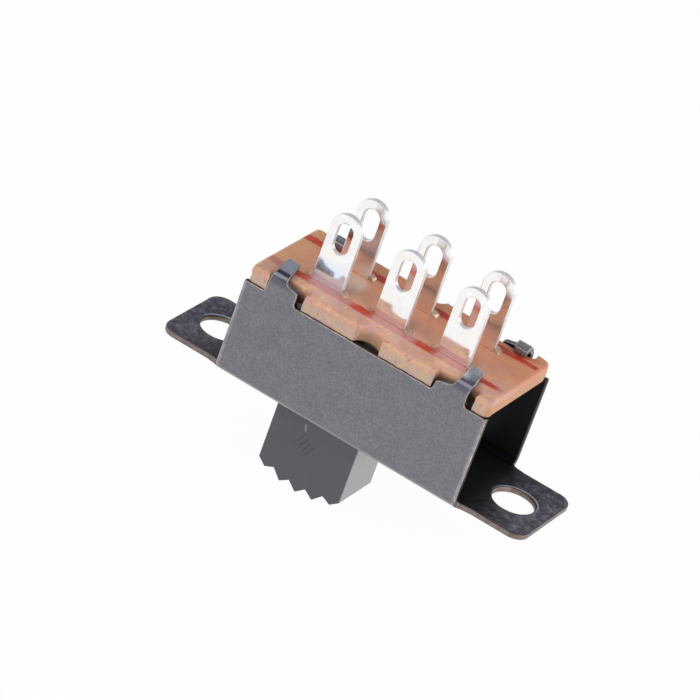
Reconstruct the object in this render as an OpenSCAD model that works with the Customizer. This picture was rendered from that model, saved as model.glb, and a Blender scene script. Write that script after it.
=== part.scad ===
// Two-pole slide switch for panel mounting: a folded steel bracket, a laminate board with six
// solder terminals, and a moulded slider that carries two sprung bridging contacts.
// The origin is the centre of the mounting face, which is the bracket's face on the knob's side.
// +X runs along the travel, +Z points to the terminals, and the knob points along -Z.
// All sizes are in millimetres.

/* [Bracket] */
// Thickness of the folded sheet
sheet_t = 0.5; // [0.4:0.05:0.7]
// Length of the channel along the travel
channel_l = 23.1; // [22:0.1:30]
// Width of the channel over the outside of its walls
channel_w = 10.9; // [10.8:0.1:14]
// Height of the wall tops above the mounting face
wall_h = 8.6; // [7.5:0.1:12]
// Outer radius of the long bends
bend_r = 0.9; // [0.8:0.05:1.2]
// Length of each ear beyond the channel's end
ear_l = 5.95; // [5.5:0.05:8]
// Corner radius of the ears
ear_corner_r = 1.3; // [0.5:0.1:2.5]
// Radius in the corner between an ear and the channel
ear_root_r = 0.6; // [0.3:0.1:1]
// Distance from the channel's end to the centre of a mounting hole
hole_inset = 2.7; // [2.4:0.05:3.2]
// Diameter of the mounting holes
hole_d = 3.6; // [2.5:0.1:4.4]

/* [Crimp tabs] */
// Distance from the channel's end to a tab
tab_inset = 2; // [1.2:0.1:3]
// Width of a tab at its root
tab_root_w = 2.9; // [2.2:0.1:3.4]
// Height of the root's shoulder above the wall top
tab_root_h = 1.2; // [0.6:0.1:1.4]
// Width of the neck that folds over the board
tab_neck_w = 1.6; // [1.2:0.1:2.2]
// Outer radius of the tab's fold
tab_bend_r = 0.65; // [0.6:0.05:0.9]
// Room between a folded tab's tip and the terminals' locking ears
tab_gap = 0.08; // [0.05:0.01:0.3]
// Corner radius at the tab's tip
tab_tip_r = 0.35; // [0.1:0.05:0.6]

/* [Terminal board] */
// Thickness of the laminate
board_t = 1.5; // [1.2:0.1:2]
// Gap between the board's end and the channel's end
board_end_gap = 0.1; // [0:0.05:0.5]
// Step from the wall's outer face to the board's side
board_side_step = 0.1; // [0.05:0.05:0.45]
// Corner radius of the board
board_corner_r = 0.5; // [0.3:0.1:1.5]
// Depth of the notches in the board's sides
notch_depth = 1; // [0.5:0.05:1.1]
// Room between a tab's root and its notch, along the board
notch_gap = 0.45; // [0.2:0.05:0.6]
// Corner radius inside the tab notches
notch_corner_r = 0.35; // [0.1:0.05:0.45]
// Radius of the scallop halfway along each side
scallop_r = 1.25; // [1:0.05:1.6]

/* [Terminals] */
// Distance between terminals along a row
terminal_pitch = 6.05; // [5.2:0.05:7.3]
// Distance from the middle of the board to each row
row_offset = 2.15; // [1.9:0.05:2.4]
// Thickness of the terminal strip
lug_t = 0.5; // [0.4:0.05:0.6]
// Width of a lug
lug_w = 2.9; // [2.4:0.1:3.2]
// Height of a lug's tip above the board
lug_h = 6.55; // [5:0.05:8]
// Width of the wire slot
wire_slot_w = 1.45; // [1:0.05:1.7]
// Length of the wire slot
wire_slot_l = 2.8; // [2:0.1:3.4]
// Metal left above the wire slot
wire_slot_rim = 0.8; // [0.6:0.05:1.2]
// Width of the shank where it passes the board
shank_w = 4; // [3.6:0.1:4.2]
// Room around the shank in its slot
shank_gap = 0.03; // [0.02:0.01:0.06]
// Height of the locking ears above the board
lock_h = 0.35; // [0.25:0.05:0.5]
// Reach of the locking ears beside the shank
lock_reach = 0.3; // [0.2:0.05:0.5]
// Length of a contact pad along the travel
pad_l = 4.8; // [4.4:0.1:5]
// Reach of a contact pad from the shank towards the wall
pad_reach = 1.9; // [1.7:0.05:2]
// Thickness of a contact pad
pad_t = 0.5; // [0.4:0.05:0.6]

/* [Slider] */
// Travel between the two positions
travel = 5; // [4.4:0.1:6]
// Length of the knob along the travel
knob_l = 7.9; // [7:0.1:9]
// Width of the knob
knob_w = 5.3; // [4.4:0.1:5.8]
// Depth of the knob's middle tooth below the mounting face
knob_drop = 7.75; // [5:0.05:12]
// Number of grip teeth
tooth_count = 5; // [3:2:7]
// Distance between grip teeth
tooth_pitch = 1.6; // [1.3:0.05:1.7]
// Depth of the grooves between the teeth
tooth_depth = 0.65; // [0.3:0.05:0.8]
// Width of the blunt tip on each tooth
tooth_land = 0.16; // [0.1:0.02:0.3]
// Radius of the knob's crown
crown_r = 8.6; // [7:0.1:20]
// Room at each end of the knob's travel in the bracket
stop_gap = 0.15; // [0.1:0.05:0.3]
// Room beside the knob in the bracket's slot
knob_side_gap = 0.15; // [0.1:0.05:0.3]
// Corner radius of the slot in the bracket
slot_corner_r = 0.4; // [0.2:0.05:0.45]
// Length of the carrier inside the channel
carrier_l = 15; // [12:0.1:17]
// Room between the carrier's top and the contact strips
strip_float = 0.65; // [0.3:0.05:0.9]
// Room beside the carrier in the channel
carrier_side_gap = 0.15; // [0.1:0.05:0.25]
// Room between the carrier and the bracket's face
carrier_face_gap = 0.1; // [0.08:0.02:0.15]
// Corner radius of the carrier
carrier_corner_r = 0.5; // [0.2:0.1:1]

/* [Bridging contacts] */
// Distance from one contact dome to the other
dome_pitch = 5.8; // [5.2:0.1:6]
// Height of a contact dome
dome_h = 0.45; // [0.3:0.05:0.6]
// Radius of a contact dome's sphere
dome_r = 1.1; // [0.9:0.05:1.3]
// Gap between the domes and the contact pads
contact_gap = 0.1; // [0.05:0.01:0.15]
// Thickness of the contact strip
strip_t = 0.3; // [0.2:0.05:0.4]
// Width of the contact strip
strip_w = 1.9; // [1.8:0.05:2.1]
// Length of the contact strip
strip_l = 9; // [8.4:0.1:10]
// Depth of the strip's turned-down ends
strip_leg = 1.8; // [1.2:0.1:2.4]
// Room between a strip and its pocket
pocket_gap = 0.12; // [0.08:0.01:0.15]
// Depth of the pockets
pocket_depth = 3.9; // [3:0.1:4.1]
// Wire diameter of the contact springs
spring_wire_d = 0.32; // [0.2:0.02:0.4]
// Outer diameter of the contact springs
spring_d = 1.7; // [1.4:0.05:1.9]
// Number of turns in a contact spring
spring_turns = 6; // [4:1:8]
// Gap between a spring and what it bears on
spring_gap = 0.03; // [0.01:0.01:0.05]

/* [Hidden] */
$fn = 48;

steel_color = [0.20, 0.20, 0.22];
laminate_color = [0.74, 0.49, 0.33];
tin_color = [0.86, 0.86, 0.85];
moulding_color = [0.24, 0.24, 0.26];
bronze_color = [0.76, 0.58, 0.36];
spring_color = [0.66, 0.67, 0.70];

// Extra depth that lets a cutting tool clear the face it cuts
cut = 1;

// The ears are as wide as the flat between the two long bends
ear_w = channel_w - 2 * bend_r;
wall_y = channel_w / 2;
inner_y = wall_y - sheet_t;

board_top = wall_h + board_t;
board_l = channel_l - 2 * board_end_gap;
board_w = channel_w - 2 * board_side_step;

ear_span = channel_l + 2 * ear_l;
hole_pitch = channel_l + 2 * hole_inset;

tab_outer_x = channel_l / 2 - tab_inset;
tab_inner_x = tab_outer_x - tab_root_w;
tab_top = board_top + sheet_t;
tab_tip_y = row_offset + lug_t / 2 + lock_reach + tab_gap;

lug_tip = board_top + lug_h;
shank_slot_l = shank_w + 2 * shank_gap;
shank_slot_w = lug_t + 2 * shank_gap;
lock_w = (shank_w - lug_w) / 2;
pad_bottom = wall_h - pad_t;

// At rest the slider is at the left-hand end of its travel
rest_x = -travel / 2;
slot_l = knob_l + travel + 2 * stop_gap;
slot_w = knob_w + 2 * knob_side_gap;
carrier_w = channel_w - 2 * sheet_t - 2 * carrier_side_gap;
carrier_bottom = sheet_t + carrier_face_gap;

// The contacts run under the middle of the pads
contact_y = row_offset + lug_t / 2 + pad_reach / 2;
strip_top = pad_bottom - contact_gap - dome_h;
strip_bottom = strip_top - strip_t;
carrier_top = strip_bottom - strip_float;
pocket_floor = carrier_top - pocket_depth;
pocket_l = strip_l + 2 * pocket_gap;
pocket_w = strip_w + 2 * pocket_gap;

spring_bottom = pocket_floor + spring_gap;
spring_top = strip_bottom - spring_gap;
spring_coil_r = (spring_d - spring_wire_d) / 2;
spring_steps = 14;
wire_sides = 8;

// A flat rectangle, centred on the origin, with round corners
module rounded_rect(size_x, size_y, r) {
    square([size_x - 2 * r, size_y], center = true);
    square([size_x, size_y - 2 * r], center = true);
    for (sx = [-1, 1], sy = [-1, 1])
        translate([sx * (size_x / 2 - r), sy * (size_y / 2 - r)])
            circle(r = r);
}

// The outline of the face plate with its two ears
module face_outline() {
    rounded_rect(ear_span, ear_w, ear_corner_r);
    for (sx = [-1, 1], sy = [-1, 1])
        translate([sx * channel_l / 2, sy * ear_w / 2])
            mirror([sx < 0 ? 1 : 0, 0])
                mirror([0, sy < 0 ? 1 : 0])
                    difference() {
                        translate([-ear_root_r, -ear_root_r])
                            square([2 * ear_root_r, 2 * ear_root_r]);
                        translate([ear_root_r, ear_root_r])
                            circle(r = ear_root_r);
                        translate([-2 * ear_root_r, 0])
                            square([2 * ear_root_r, 2 * ear_root_r]);
                    }
}

// The face plate, with the slot for the knob and the two mounting holes
module face_plate() {
    linear_extrude(sheet_t)
        difference() {
            face_outline();
            rounded_rect(slot_l, slot_w, slot_corner_r);
            for (sx = [-1, 1])
                translate([sx * hole_pitch / 2, 0])
                    circle(d = hole_d);
        }
}

// One long wall at the +Y side, with its quarter-round bend
module side_wall() {
    translate([-channel_l / 2, inner_y, bend_r])
        cube([channel_l, sheet_t, wall_h - bend_r]);
    translate([-channel_l / 2, wall_y - bend_r, bend_r])
        rotate([90, 0, 90])
            linear_extrude(channel_l)
                difference() {
                    intersection() {
                        circle(r = bend_r);
                        translate([0, -bend_r])
                            square(bend_r);
                    }
                    circle(r = bend_r - sheet_t);
                }
}

// A crimp tab of the +Y wall at the +X end, folded over the board's top
module crimp_tab() {
    neck_x = tab_outer_x - tab_neck_w;
    translate([tab_inner_x, inner_y, wall_h])
        cube([tab_root_w, sheet_t, tab_root_h]);
    translate([neck_x, inner_y, wall_h])
        cube([tab_neck_w, sheet_t, tab_top - tab_bend_r - wall_h]);
    translate([neck_x, wall_y - tab_bend_r, tab_top - tab_bend_r])
        rotate([90, 0, 90])
            linear_extrude(tab_neck_w)
                difference() {
                    intersection() {
                        circle(r = tab_bend_r);
                        square(tab_bend_r);
                    }
                    circle(r = tab_bend_r - sheet_t);
                }
    flap_l = wall_y - tab_bend_r - tab_tip_y;
    translate([neck_x, tab_tip_y, board_top])
        linear_extrude(sheet_t) {
            translate([0, tab_tip_r])
                square([tab_neck_w, flap_l - tab_tip_r]);
            translate([tab_tip_r, 0])
                square([tab_neck_w - 2 * tab_tip_r, flap_l]);
            for (x = [tab_tip_r, tab_neck_w - tab_tip_r])
                translate([x, tab_tip_r])
                    circle(r = tab_tip_r);
        }
}

module bracket() {
    color(steel_color) {
        face_plate();
        for (sy = [0, 1])
            mirror([0, sy, 0]) {
                side_wall();
                for (sx = [0, 1])
                    mirror([sx, 0, 0])
                        crimp_tab();
            }
    }
}

// The notch that a crimp tab passes through, at the +X +Y corner of the board
module tab_notch() {
    notch_l = tab_root_w + 2 * notch_gap;
    translate([(tab_outer_x + tab_inner_x) / 2, board_w / 2])
        rounded_rect(notch_l, 2 * notch_depth, notch_corner_r);
}

module terminal_board() {
    color(laminate_color)
        translate([0, 0, wall_h])
            linear_extrude(board_t)
                difference() {
                    rounded_rect(board_l, board_w, board_corner_r);
                    for (sx = [0, 1], sy = [0, 1])
                        mirror([sx, 0])
                            mirror([0, sy])
                                tab_notch();
                    for (sy = [-1, 1])
                        translate([0, sy * (board_w / 2 - notch_depth + scallop_r)])
                            circle(r = scallop_r);
                    for (column = [-1, 0, 1], sy = [-1, 1])
                        translate([column * terminal_pitch, sy * row_offset])
                            square([shank_slot_l, shank_slot_w], center = true);
                }
}

// The flat face of a lug, drawn with x across it and y up from the board
module lug_outline() {
    slot_top = lug_h - wire_slot_rim;
    difference() {
        union() {
            translate([-lug_w / 2, 0])
                square([lug_w, lug_h - lug_w / 2]);
            translate([0, lug_h - lug_w / 2])
                circle(d = lug_w);
        }
        for (y = [slot_top - wire_slot_l + wire_slot_w / 2, slot_top - wire_slot_w / 2])
            translate([0, y])
                circle(d = wire_slot_w);
        translate([-wire_slot_w / 2, slot_top - wire_slot_l + wire_slot_w / 2])
            square([wire_slot_w, wire_slot_l - wire_slot_w]);
    }
}

// A terminal of the +Y row, in its column: -1, 0 or 1
module terminal(column) {
    color(tin_color)
        translate([column * terminal_pitch, row_offset, 0]) {
            // The lug, which stands on the board
            translate([0, lug_t / 2, board_top])
                rotate([90, 0, 0])
                    linear_extrude(lug_t)
                        lug_outline();
            // The shank in the board
            translate([-shank_w / 2, -lug_t / 2, pad_bottom])
                cube([shank_w, lug_t, board_top - pad_bottom]);
            // The locking ears: the right one lies outwards and the left one inwards
            translate([lug_w / 2, -lug_t / 2, board_top])
                cube([lock_w, lug_t + lock_reach, lock_h]);
            translate([-shank_w / 2, -lug_t / 2 - lock_reach, board_top])
                cube([lock_w, lug_t + lock_reach, lock_h]);
            // The contact pad, folded flat under the board
            translate([-pad_l / 2, -lug_t / 2, pad_bottom])
                cube([pad_l, lug_t + pad_reach, pad_t]);
        }
}

// The side view of the knob: straight flanks and a toothed, crowned end
function crown(x) = crown_r - sqrt(crown_r * crown_r - x * x);
function tooth_x(i) = (i - (tooth_count - 1) / 2) * tooth_pitch;
function tip_z(i) = crown(tooth_x(i)) - knob_drop;
function groove_z(i) = crown(tooth_x(i + 0.5)) - knob_drop + tooth_depth;

knob_end_z = tip_z(0) + (knob_l / 2 + tooth_x(0)) * 2 * tooth_depth / tooth_pitch;
knob_outline = concat(
    [[knob_l / 2, carrier_bottom + carrier_face_gap], [-knob_l / 2, carrier_bottom + carrier_face_gap],
     [-knob_l / 2, knob_end_z]],
    [for (i = [0 : tooth_count - 1], part = [0 : (i < tooth_count - 1 ? 2 : 1)])
        part == 0 ? [tooth_x(i) - tooth_land / 2, tip_z(i)]
      : part == 1 ? [tooth_x(i) + tooth_land / 2, tip_z(i)]
      : [tooth_x(i + 0.5), groove_z(i)]],
    [[knob_l / 2, knob_end_z]]);

module knob() {
    rotate([90, 0, 0])
        linear_extrude(knob_w, center = true)
            polygon(knob_outline);
}

// The carrier's section: its lower edges are cut back to clear the bracket's bends
carrier_chamfer = bend_r - sheet_t;
carrier_section = [
    [carrier_w / 2 - carrier_chamfer, carrier_bottom], [carrier_w / 2, carrier_bottom + carrier_chamfer],
    [carrier_w / 2, carrier_top], [-carrier_w / 2, carrier_top],
    [-carrier_w / 2, carrier_bottom + carrier_chamfer], [carrier_chamfer - carrier_w / 2, carrier_bottom]];

// The block inside the channel, with a pocket for each contact and its spring
module carrier() {
    difference() {
        intersection() {
            translate([0, 0, carrier_bottom])
                linear_extrude(carrier_top - carrier_bottom)
                    rounded_rect(carrier_l, carrier_w, carrier_corner_r);
            rotate([90, 0, 90])
                linear_extrude(carrier_l, center = true)
                    polygon(carrier_section);
        }
        for (sy = [-1, 1])
            translate([0, sy * contact_y, pocket_floor + (pocket_depth + cut) / 2])
                cube([pocket_l, pocket_w, pocket_depth + cut], center = true);
    }
}

module slider() {
    color(moulding_color)
        translate([rest_x, 0, 0]) {
            knob();
            carrier();
        }
}

// A bridging contact on the side given by sy: a strip with two domes and turned-down ends
module bridging_contact(sy) {
    color(bronze_color)
        translate([rest_x, sy * contact_y, 0]) {
            translate([-strip_l / 2, -strip_w / 2, strip_bottom])
                cube([strip_l, strip_w, strip_t]);
            for (x = [-strip_l / 2, strip_l / 2 - strip_t])
                translate([x, -strip_w / 2, strip_bottom - strip_leg])
                    cube([strip_t, strip_w, strip_leg]);
            for (sx = [-1, 1])
                translate([sx * dome_pitch / 2, 0, strip_top])
                    intersection() {
                        translate([0, 0, dome_h - dome_r])
                            sphere(r = dome_r);
                        translate([-dome_r, -dome_r, 0])
                            cube([2 * dome_r, 2 * dome_r, dome_r]);
                    }
        }
}

// The middle line of a spring: its height climbs slowly over the closed end turns
spring_rings = spring_turns * spring_steps;
spring_climb = spring_top - spring_bottom - spring_wire_d;
function ease(t) = t * t * (3 - 2 * t);
function spring_point(i) =
    let (t = i / spring_rings, a = 360 * i / spring_steps)
    [spring_coil_r * cos(a), spring_coil_r * sin(a),
     spring_bottom + spring_wire_d / 2 + spring_climb * ease(t)];
function spring_ring(i) =
    let (a = 360 * i / spring_steps, p = spring_point(i))
    [for (k = [0 : wire_sides - 1])
        let (b = 360 * k / wire_sides, r = spring_wire_d / 2 * cos(b))
        [p[0] + r * cos(a), p[1] + r * sin(a), p[2] + spring_wire_d / 2 * sin(b)]];

module contact_spring(sy) {
    points = [for (i = [0 : spring_rings]) each spring_ring(i)];
    sides = [for (i = [0 : spring_rings - 1], k = [0 : wire_sides - 1])
        let (a = i * wire_sides + k, b = i * wire_sides + (k + 1) % wire_sides)
        [a, b, b + wire_sides, a + wire_sides]];
    first_cap = [for (k = [wire_sides - 1 : -1 : 0]) k];
    last_cap = [for (k = [0 : wire_sides - 1]) spring_rings * wire_sides + k];
    color(spring_color)
        translate([rest_x, sy * contact_y, 0])
            polyhedron(points, concat(sides, [first_cap, last_cap]), convexity = spring_turns);
}

module terminal_a(column) {
    mirror([0, 1, 0])
        terminal(column);
}

bracket();
terminal_board();
terminal_a(-1);  // terminal_a1
terminal_a(0);  // terminal_a2
terminal_a(1);  // terminal_a3
terminal(-1);  // terminal_b1
terminal(0);  // terminal_b2
terminal(1);  // terminal_b3
slider();
bridging_contact(-1);  // contact_a
bridging_contact(1);  // contact_b
contact_spring(-1);  // contact_spring_a
contact_spring(1);  // contact_spring_b
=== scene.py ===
"""Looks of a two-pole slide switch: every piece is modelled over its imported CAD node.

Sizes are in millimetres on the bench, and each finished mesh is scaled to metres in the shared frame.
"""
import logging
import math
from collections.abc import Callable, Sequence
from dataclasses import dataclass, field
from enum import Enum
from typing import Any

import bmesh
import bpy
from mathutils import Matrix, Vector


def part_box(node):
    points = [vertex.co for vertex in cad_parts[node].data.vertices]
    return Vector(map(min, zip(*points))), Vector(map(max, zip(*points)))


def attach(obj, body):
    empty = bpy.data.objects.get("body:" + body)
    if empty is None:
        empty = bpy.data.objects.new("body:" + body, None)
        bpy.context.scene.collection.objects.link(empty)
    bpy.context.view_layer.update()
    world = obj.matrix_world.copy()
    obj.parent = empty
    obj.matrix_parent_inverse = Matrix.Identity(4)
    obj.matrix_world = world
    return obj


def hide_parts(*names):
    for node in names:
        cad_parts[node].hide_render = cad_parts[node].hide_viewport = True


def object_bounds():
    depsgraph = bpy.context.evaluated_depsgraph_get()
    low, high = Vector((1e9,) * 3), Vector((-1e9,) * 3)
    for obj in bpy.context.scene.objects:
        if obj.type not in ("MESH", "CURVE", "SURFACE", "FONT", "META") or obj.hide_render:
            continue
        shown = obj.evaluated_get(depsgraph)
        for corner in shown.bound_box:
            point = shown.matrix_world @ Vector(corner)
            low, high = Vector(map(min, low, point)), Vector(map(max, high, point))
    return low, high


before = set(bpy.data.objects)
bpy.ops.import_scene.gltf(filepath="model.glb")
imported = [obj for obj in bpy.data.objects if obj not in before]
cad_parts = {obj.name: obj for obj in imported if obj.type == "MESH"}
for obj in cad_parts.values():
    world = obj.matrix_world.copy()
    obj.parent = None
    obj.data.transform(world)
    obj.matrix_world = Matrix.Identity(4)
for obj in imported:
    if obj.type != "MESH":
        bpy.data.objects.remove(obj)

CAD_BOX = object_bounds()
LOG = logging.getLogger("slide_switch")

Triple = tuple[float, float, float]
Colour = Triple
Pair = tuple[float, float]
Pairs = tuple[Pair, ...]
Rounding = tuple[float, int]
Layer = tuple[Any, ...]
Named = dict[str, Any]
Test = Callable[[Vector], bool]
Socket = bpy.types.NodeSocket
Node = bpy.types.Node
Material = bpy.types.Material

MM = 0.001
CLOSE = 0.01
CLEAR = 0.1
HAIR = 1e-4
SAME_WAY = 0.98
ORIGIN: Triple = (0.0, 0.0, 0.0)
X_AXIS: Triple = (1.0, 0.0, 0.0)
Y_AXIS: Triple = (0.0, 1.0, 0.0)
Z_AXIS: Triple = (0.0, 0.0, 1.0)
DOWN: Triple = (0.0, 0.0, -1.0)
WHITE: Colour = (1.0, 1.0, 1.0)
QUARTER = math.pi / 2


class Body(Enum):
    """The CAD bodies that pieces ride on."""

    HOUSING = "housing"
    SLIDER = "slider_unit"


class Row(Enum):
    """The two rows of terminals, by the side of the board where they stand."""

    A = -1
    B = 1


class Pick(Enum):
    """What a selection on the bench takes."""

    VERTS = "VERT"
    EDGES = "EDGE"
    FACES = "FACE"


def node_box(node: str) -> tuple[Vector, Vector]:
    """Gives a CAD node's lowest and highest corners in millimetres."""
    low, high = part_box(node)
    return low / MM, high / MM


def put(name: str, data: Any) -> bpy.types.Object:
    """Puts a new object into the scene."""
    obj = bpy.data.objects.new(name, data)
    bpy.context.scene.collection.objects.link(obj)
    return obj


def near(value: float, target: float) -> bool:
    """Tells whether two lengths are the same to a hundredth of a millimetre."""
    return abs(value - target) < CLOSE


def facing(axis: Triple) -> Triple:
    """Gives the turn that lays a level shape square to an axis."""
    return {X_AXIS: (0.0, QUARTER, 0.0), Y_AXIS: (QUARTER, 0.0, 0.0)}.get(axis, ORIGIN)


# --- The bench --------------------------------------------


class Workpiece:
    """A mesh on the bench, in millimetres, shaped by selections and edit-mode operators."""

    def __init__(self, name: str, materials: Sequence[Material] = ()) -> None:
        """Lays an empty mesh on the bench and opens it for editing.

        Args:
            name: The finished piece's name.
            materials: Its materials, by slot number.
        """
        mesh = bpy.data.meshes.new(name)
        for material in materials:
            mesh.materials.append(material)
        self.obj = put(name, mesh)
        self.open()

    def take(self) -> None:
        """Makes this the only selected and the active object."""
        if bpy.context.object and bpy.context.object.mode == "EDIT":
            bpy.ops.object.mode_set(mode="OBJECT")
        bpy.ops.object.select_all(action="DESELECT")
        self.obj.select_set(True)
        bpy.context.view_layer.objects.active = self.obj

    def open(self) -> None:
        """Opens the mesh in edit mode."""
        self.take()
        bpy.ops.object.mode_set(mode="EDIT")

    def clear(self, kind: Pick = Pick.VERTS) -> None:
        """Sets what a selection takes, and selects nothing."""
        bpy.ops.mesh.select_mode(type=kind.value)
        bpy.ops.mesh.select_all(action="DESELECT")

    def choose(self, kind: Pick, test: Callable[[Any], bool]) -> int:
        """Selects the parts of the mesh that a test accepts, and nothing else.

        Args:
            kind: Vertices, edges or faces.
            test: Takes the vertex, edge or face itself.

        Returns:
            How many were selected.
        """
        self.clear(kind)
        shape = bmesh.from_edit_mesh(self.obj.data)
        chosen = [part for part in getattr(shape, kind.name.lower()) if test(part)]
        for part in chosen:
            part.select_set(True)
        shape.select_flush_mode()
        bmesh.update_edit_mesh(self.obj.data)
        return len(chosen)

    def pick_verts(self, test: Test) -> None:
        """Selects the vertices that pass a test."""
        self.choose(Pick.VERTS, lambda vert: test(vert.co))

    def pick_edges(self, test: Test) -> None:
        """Selects the edges whose middle passes a test."""
        self.choose(Pick.EDGES, lambda edge: test((edge.verts[0].co + edge.verts[1].co) / 2))

    def pick_faces(self, test: Test = lambda _: True) -> None:
        """Selects the faces whose middle passes a test."""
        self.choose(Pick.FACES, lambda face: test(face.calc_center_median()))

    def pick_facing(self, normal: Triple, test: Test = lambda _: True) -> None:
        """Selects the faces that look along a direction and whose middle passes a test."""
        way = Vector(normal)
        self.choose(Pick.FACES, lambda face: face.normal.dot(way) > SAME_WAY and test(face.calc_center_median()))

    def pick_long(self, shortest: float, longest: float) -> int:
        """Selects the edges between two lengths, and counts them."""
        return self.choose(Pick.EDGES, lambda edge: shortest <= edge.calc_length() < longest)

    def pick_open(self) -> None:
        """Selects the edges that no two faces share."""
        self.clear(Pick.EDGES)
        bpy.ops.mesh.select_non_manifold()

    def all(self) -> None:
        """Selects the whole mesh."""
        bpy.ops.mesh.select_all(action="SELECT")

    def plane(self, centre: Triple, size: Triple) -> None:
        """Adds a flat sheet whose zero size is its thickness, and leaves it selected."""
        turn = facing((X_AXIS, Y_AXIS, Z_AXIS)[size.index(0)])
        self.clear()
        bpy.ops.mesh.primitive_plane_add(size=1, location=centre, rotation=turn)
        self.resize(tuple(s or 1.0 for s in size), centre)

    def block(self, low: Sequence[float], high: Sequence[float]) -> None:
        """Adds a block between two corners, and leaves it selected."""
        centre = tuple((a + b) / 2 for a, b in zip(low, high))
        self.clear()
        bpy.ops.mesh.primitive_cube_add(size=1, location=centre)
        self.resize(tuple(b - a for a, b in zip(low, high)), centre)

    def rounded(self, centre: Triple, size: Triple, radius: float, steps: int) -> None:
        """Adds a flat sheet with rounded corners."""
        self.plane(centre, size)
        self.bevel(radius, steps, corners=True)

    def ring(self, centre: Triple, radius: float, sides: int, axis: Triple = Z_AXIS) -> None:
        """Adds a circle of edges about an axis, and leaves it selected."""
        self.clear()
        bpy.ops.mesh.primitive_circle_add(vertices=sides, radius=radius, location=centre, rotation=facing(axis))

    def resize(self, value: Sequence[float], centre: Sequence[float] = ORIGIN) -> None:
        """Scales the selection about a point."""
        bpy.ops.transform.resize(value=tuple(value), center_override=tuple(centre))

    def move(self, value: Triple) -> None:
        """Moves the selection."""
        bpy.ops.transform.translate(value=value)

    def extrude(self, value: Triple) -> None:
        """Extrudes the selection and moves the new part."""
        bpy.ops.mesh.extrude_region_move(TRANSFORM_OT_translate={"value": value})

    def spin(self, degrees: float, centre: Triple, axis: Triple, steps: int) -> None:
        """Sweeps the selection right-handed round an axis; the operator itself turns the other way."""
        bpy.ops.mesh.spin(steps=steps, angle=-math.radians(degrees), center=centre, axis=axis)

    def bevel(self, width: float, segments: int, corners: bool = False) -> None:
        """Rounds the selected edges, or the selected corners of a flat sheet."""
        affect = "VERTICES" if corners else "EDGES"
        bpy.ops.mesh.bevel(offset=width, segments=segments, profile=0.5, affect=affect, clamp_overlap=False)

    def bisect(self, axis: Triple, at: float) -> None:
        """Cuts the selection square to an axis, and keeps both sides."""
        bpy.ops.mesh.bisect(plane_co=tuple(a * at for a in axis), plane_no=axis, threshold=HAIR)

    def open_face(self) -> None:
        """Removes the selected faces and leaves their edges."""
        bpy.ops.mesh.delete(type="ONLY_FACE")

    def fill(self) -> None:
        """Fills the selected loops, holes kept open."""
        bpy.ops.mesh.fill(use_beauty=True)

    def cap(self) -> None:
        """Closes the selected loop with one face."""
        bpy.ops.mesh.edge_face_add()

    def merge(self, distance: float = 1e-3) -> None:
        """Merges doubled vertices and turns every face outwards."""
        bpy.ops.mesh.select_mode(type="VERT")
        self.all()
        bpy.ops.mesh.remove_doubles(threshold=distance)
        self.all()
        bpy.ops.mesh.normals_make_consistent(inside=False)

    def look(self, direction: Triple) -> None:
        """Turns an open sheet over if most of it looks away from a direction."""
        shape = bmesh.from_edit_mesh(self.obj.data)
        if sum(face.calc_area() * face.normal.dot(Vector(direction)) for face in shape.faces) < 0:
            self.all()
            bpy.ops.mesh.flip_normals()

    def modify(self, kind: str, **settings: Any) -> None:
        """Adds a modifier with its settings and applies it."""
        self.take()
        modifier = self.obj.modifiers.new(kind.title(), kind)
        for key, value in settings.items():
            setattr(modifier, key, value)
        bpy.ops.object.modifier_apply(modifier=modifier.name)

    def sheet_metal(self, thickness: float, rim: int = 0) -> None:
        """Gives an open surface its thickness, inwards from the outer side, and its rim a material slot."""
        settings = {"use_even_offset": True, "use_quality_normals": True, "material_offset_rim": rim}
        self.modify("SOLIDIFY", thickness=thickness, offset=-1.0, **settings)

    def round_edges(self, width: float, angle: float, material: int = -1, clamp: bool = True) -> None:
        """Rounds every edge that turns by more than an angle in degrees; short edges may hold the width back."""
        limit = {"limit_method": "ANGLE", "angle_limit": math.radians(angle), "material": material}
        self.modify("BEVEL", width=width, segments=2, use_clamp_overlap=clamp, loop_slide=clamp, **limit)

    def carve(self, cutter: "Workpiece") -> None:
        """Cuts another workpiece out of this one and throws it away."""
        cutter.take()
        self.modify("BOOLEAN", operation="DIFFERENCE", object=cutter.obj, solver="EXACT")
        bpy.data.objects.remove(cutter.obj)

    def roughen(self, name: str, strength: float, size: float) -> None:
        """Pushes the selected vertices about on the level with cloud noise of a strength and a size."""
        group = self.obj.vertex_groups.new(name=name)
        self.obj.vertex_groups.active_index = group.index
        bpy.context.scene.tool_settings.vertex_group_weight = 1.0
        bpy.ops.object.vertex_group_assign()
        clouds = bpy.data.textures.new(f"{self.obj.name}_{name}", "CLOUDS")
        clouds.noise_scale = size
        clouds.noise_depth = 2
        clouds.contrast = 1.6
        settings = {"texture": clouds, "texture_coords": "LOCAL", "vertex_group": name, "strength": strength}
        for direction in "XY":
            self.modify("DISPLACE", direction=direction, **settings)

    def copy(self, name: str) -> "Workpiece":
        """Gives a copy with its own mesh."""
        self.take()
        twin = Workpiece.__new__(Workpiece)
        twin.obj = put(name, self.obj.data.copy())
        twin.obj.data.name = name
        return twin

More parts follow.
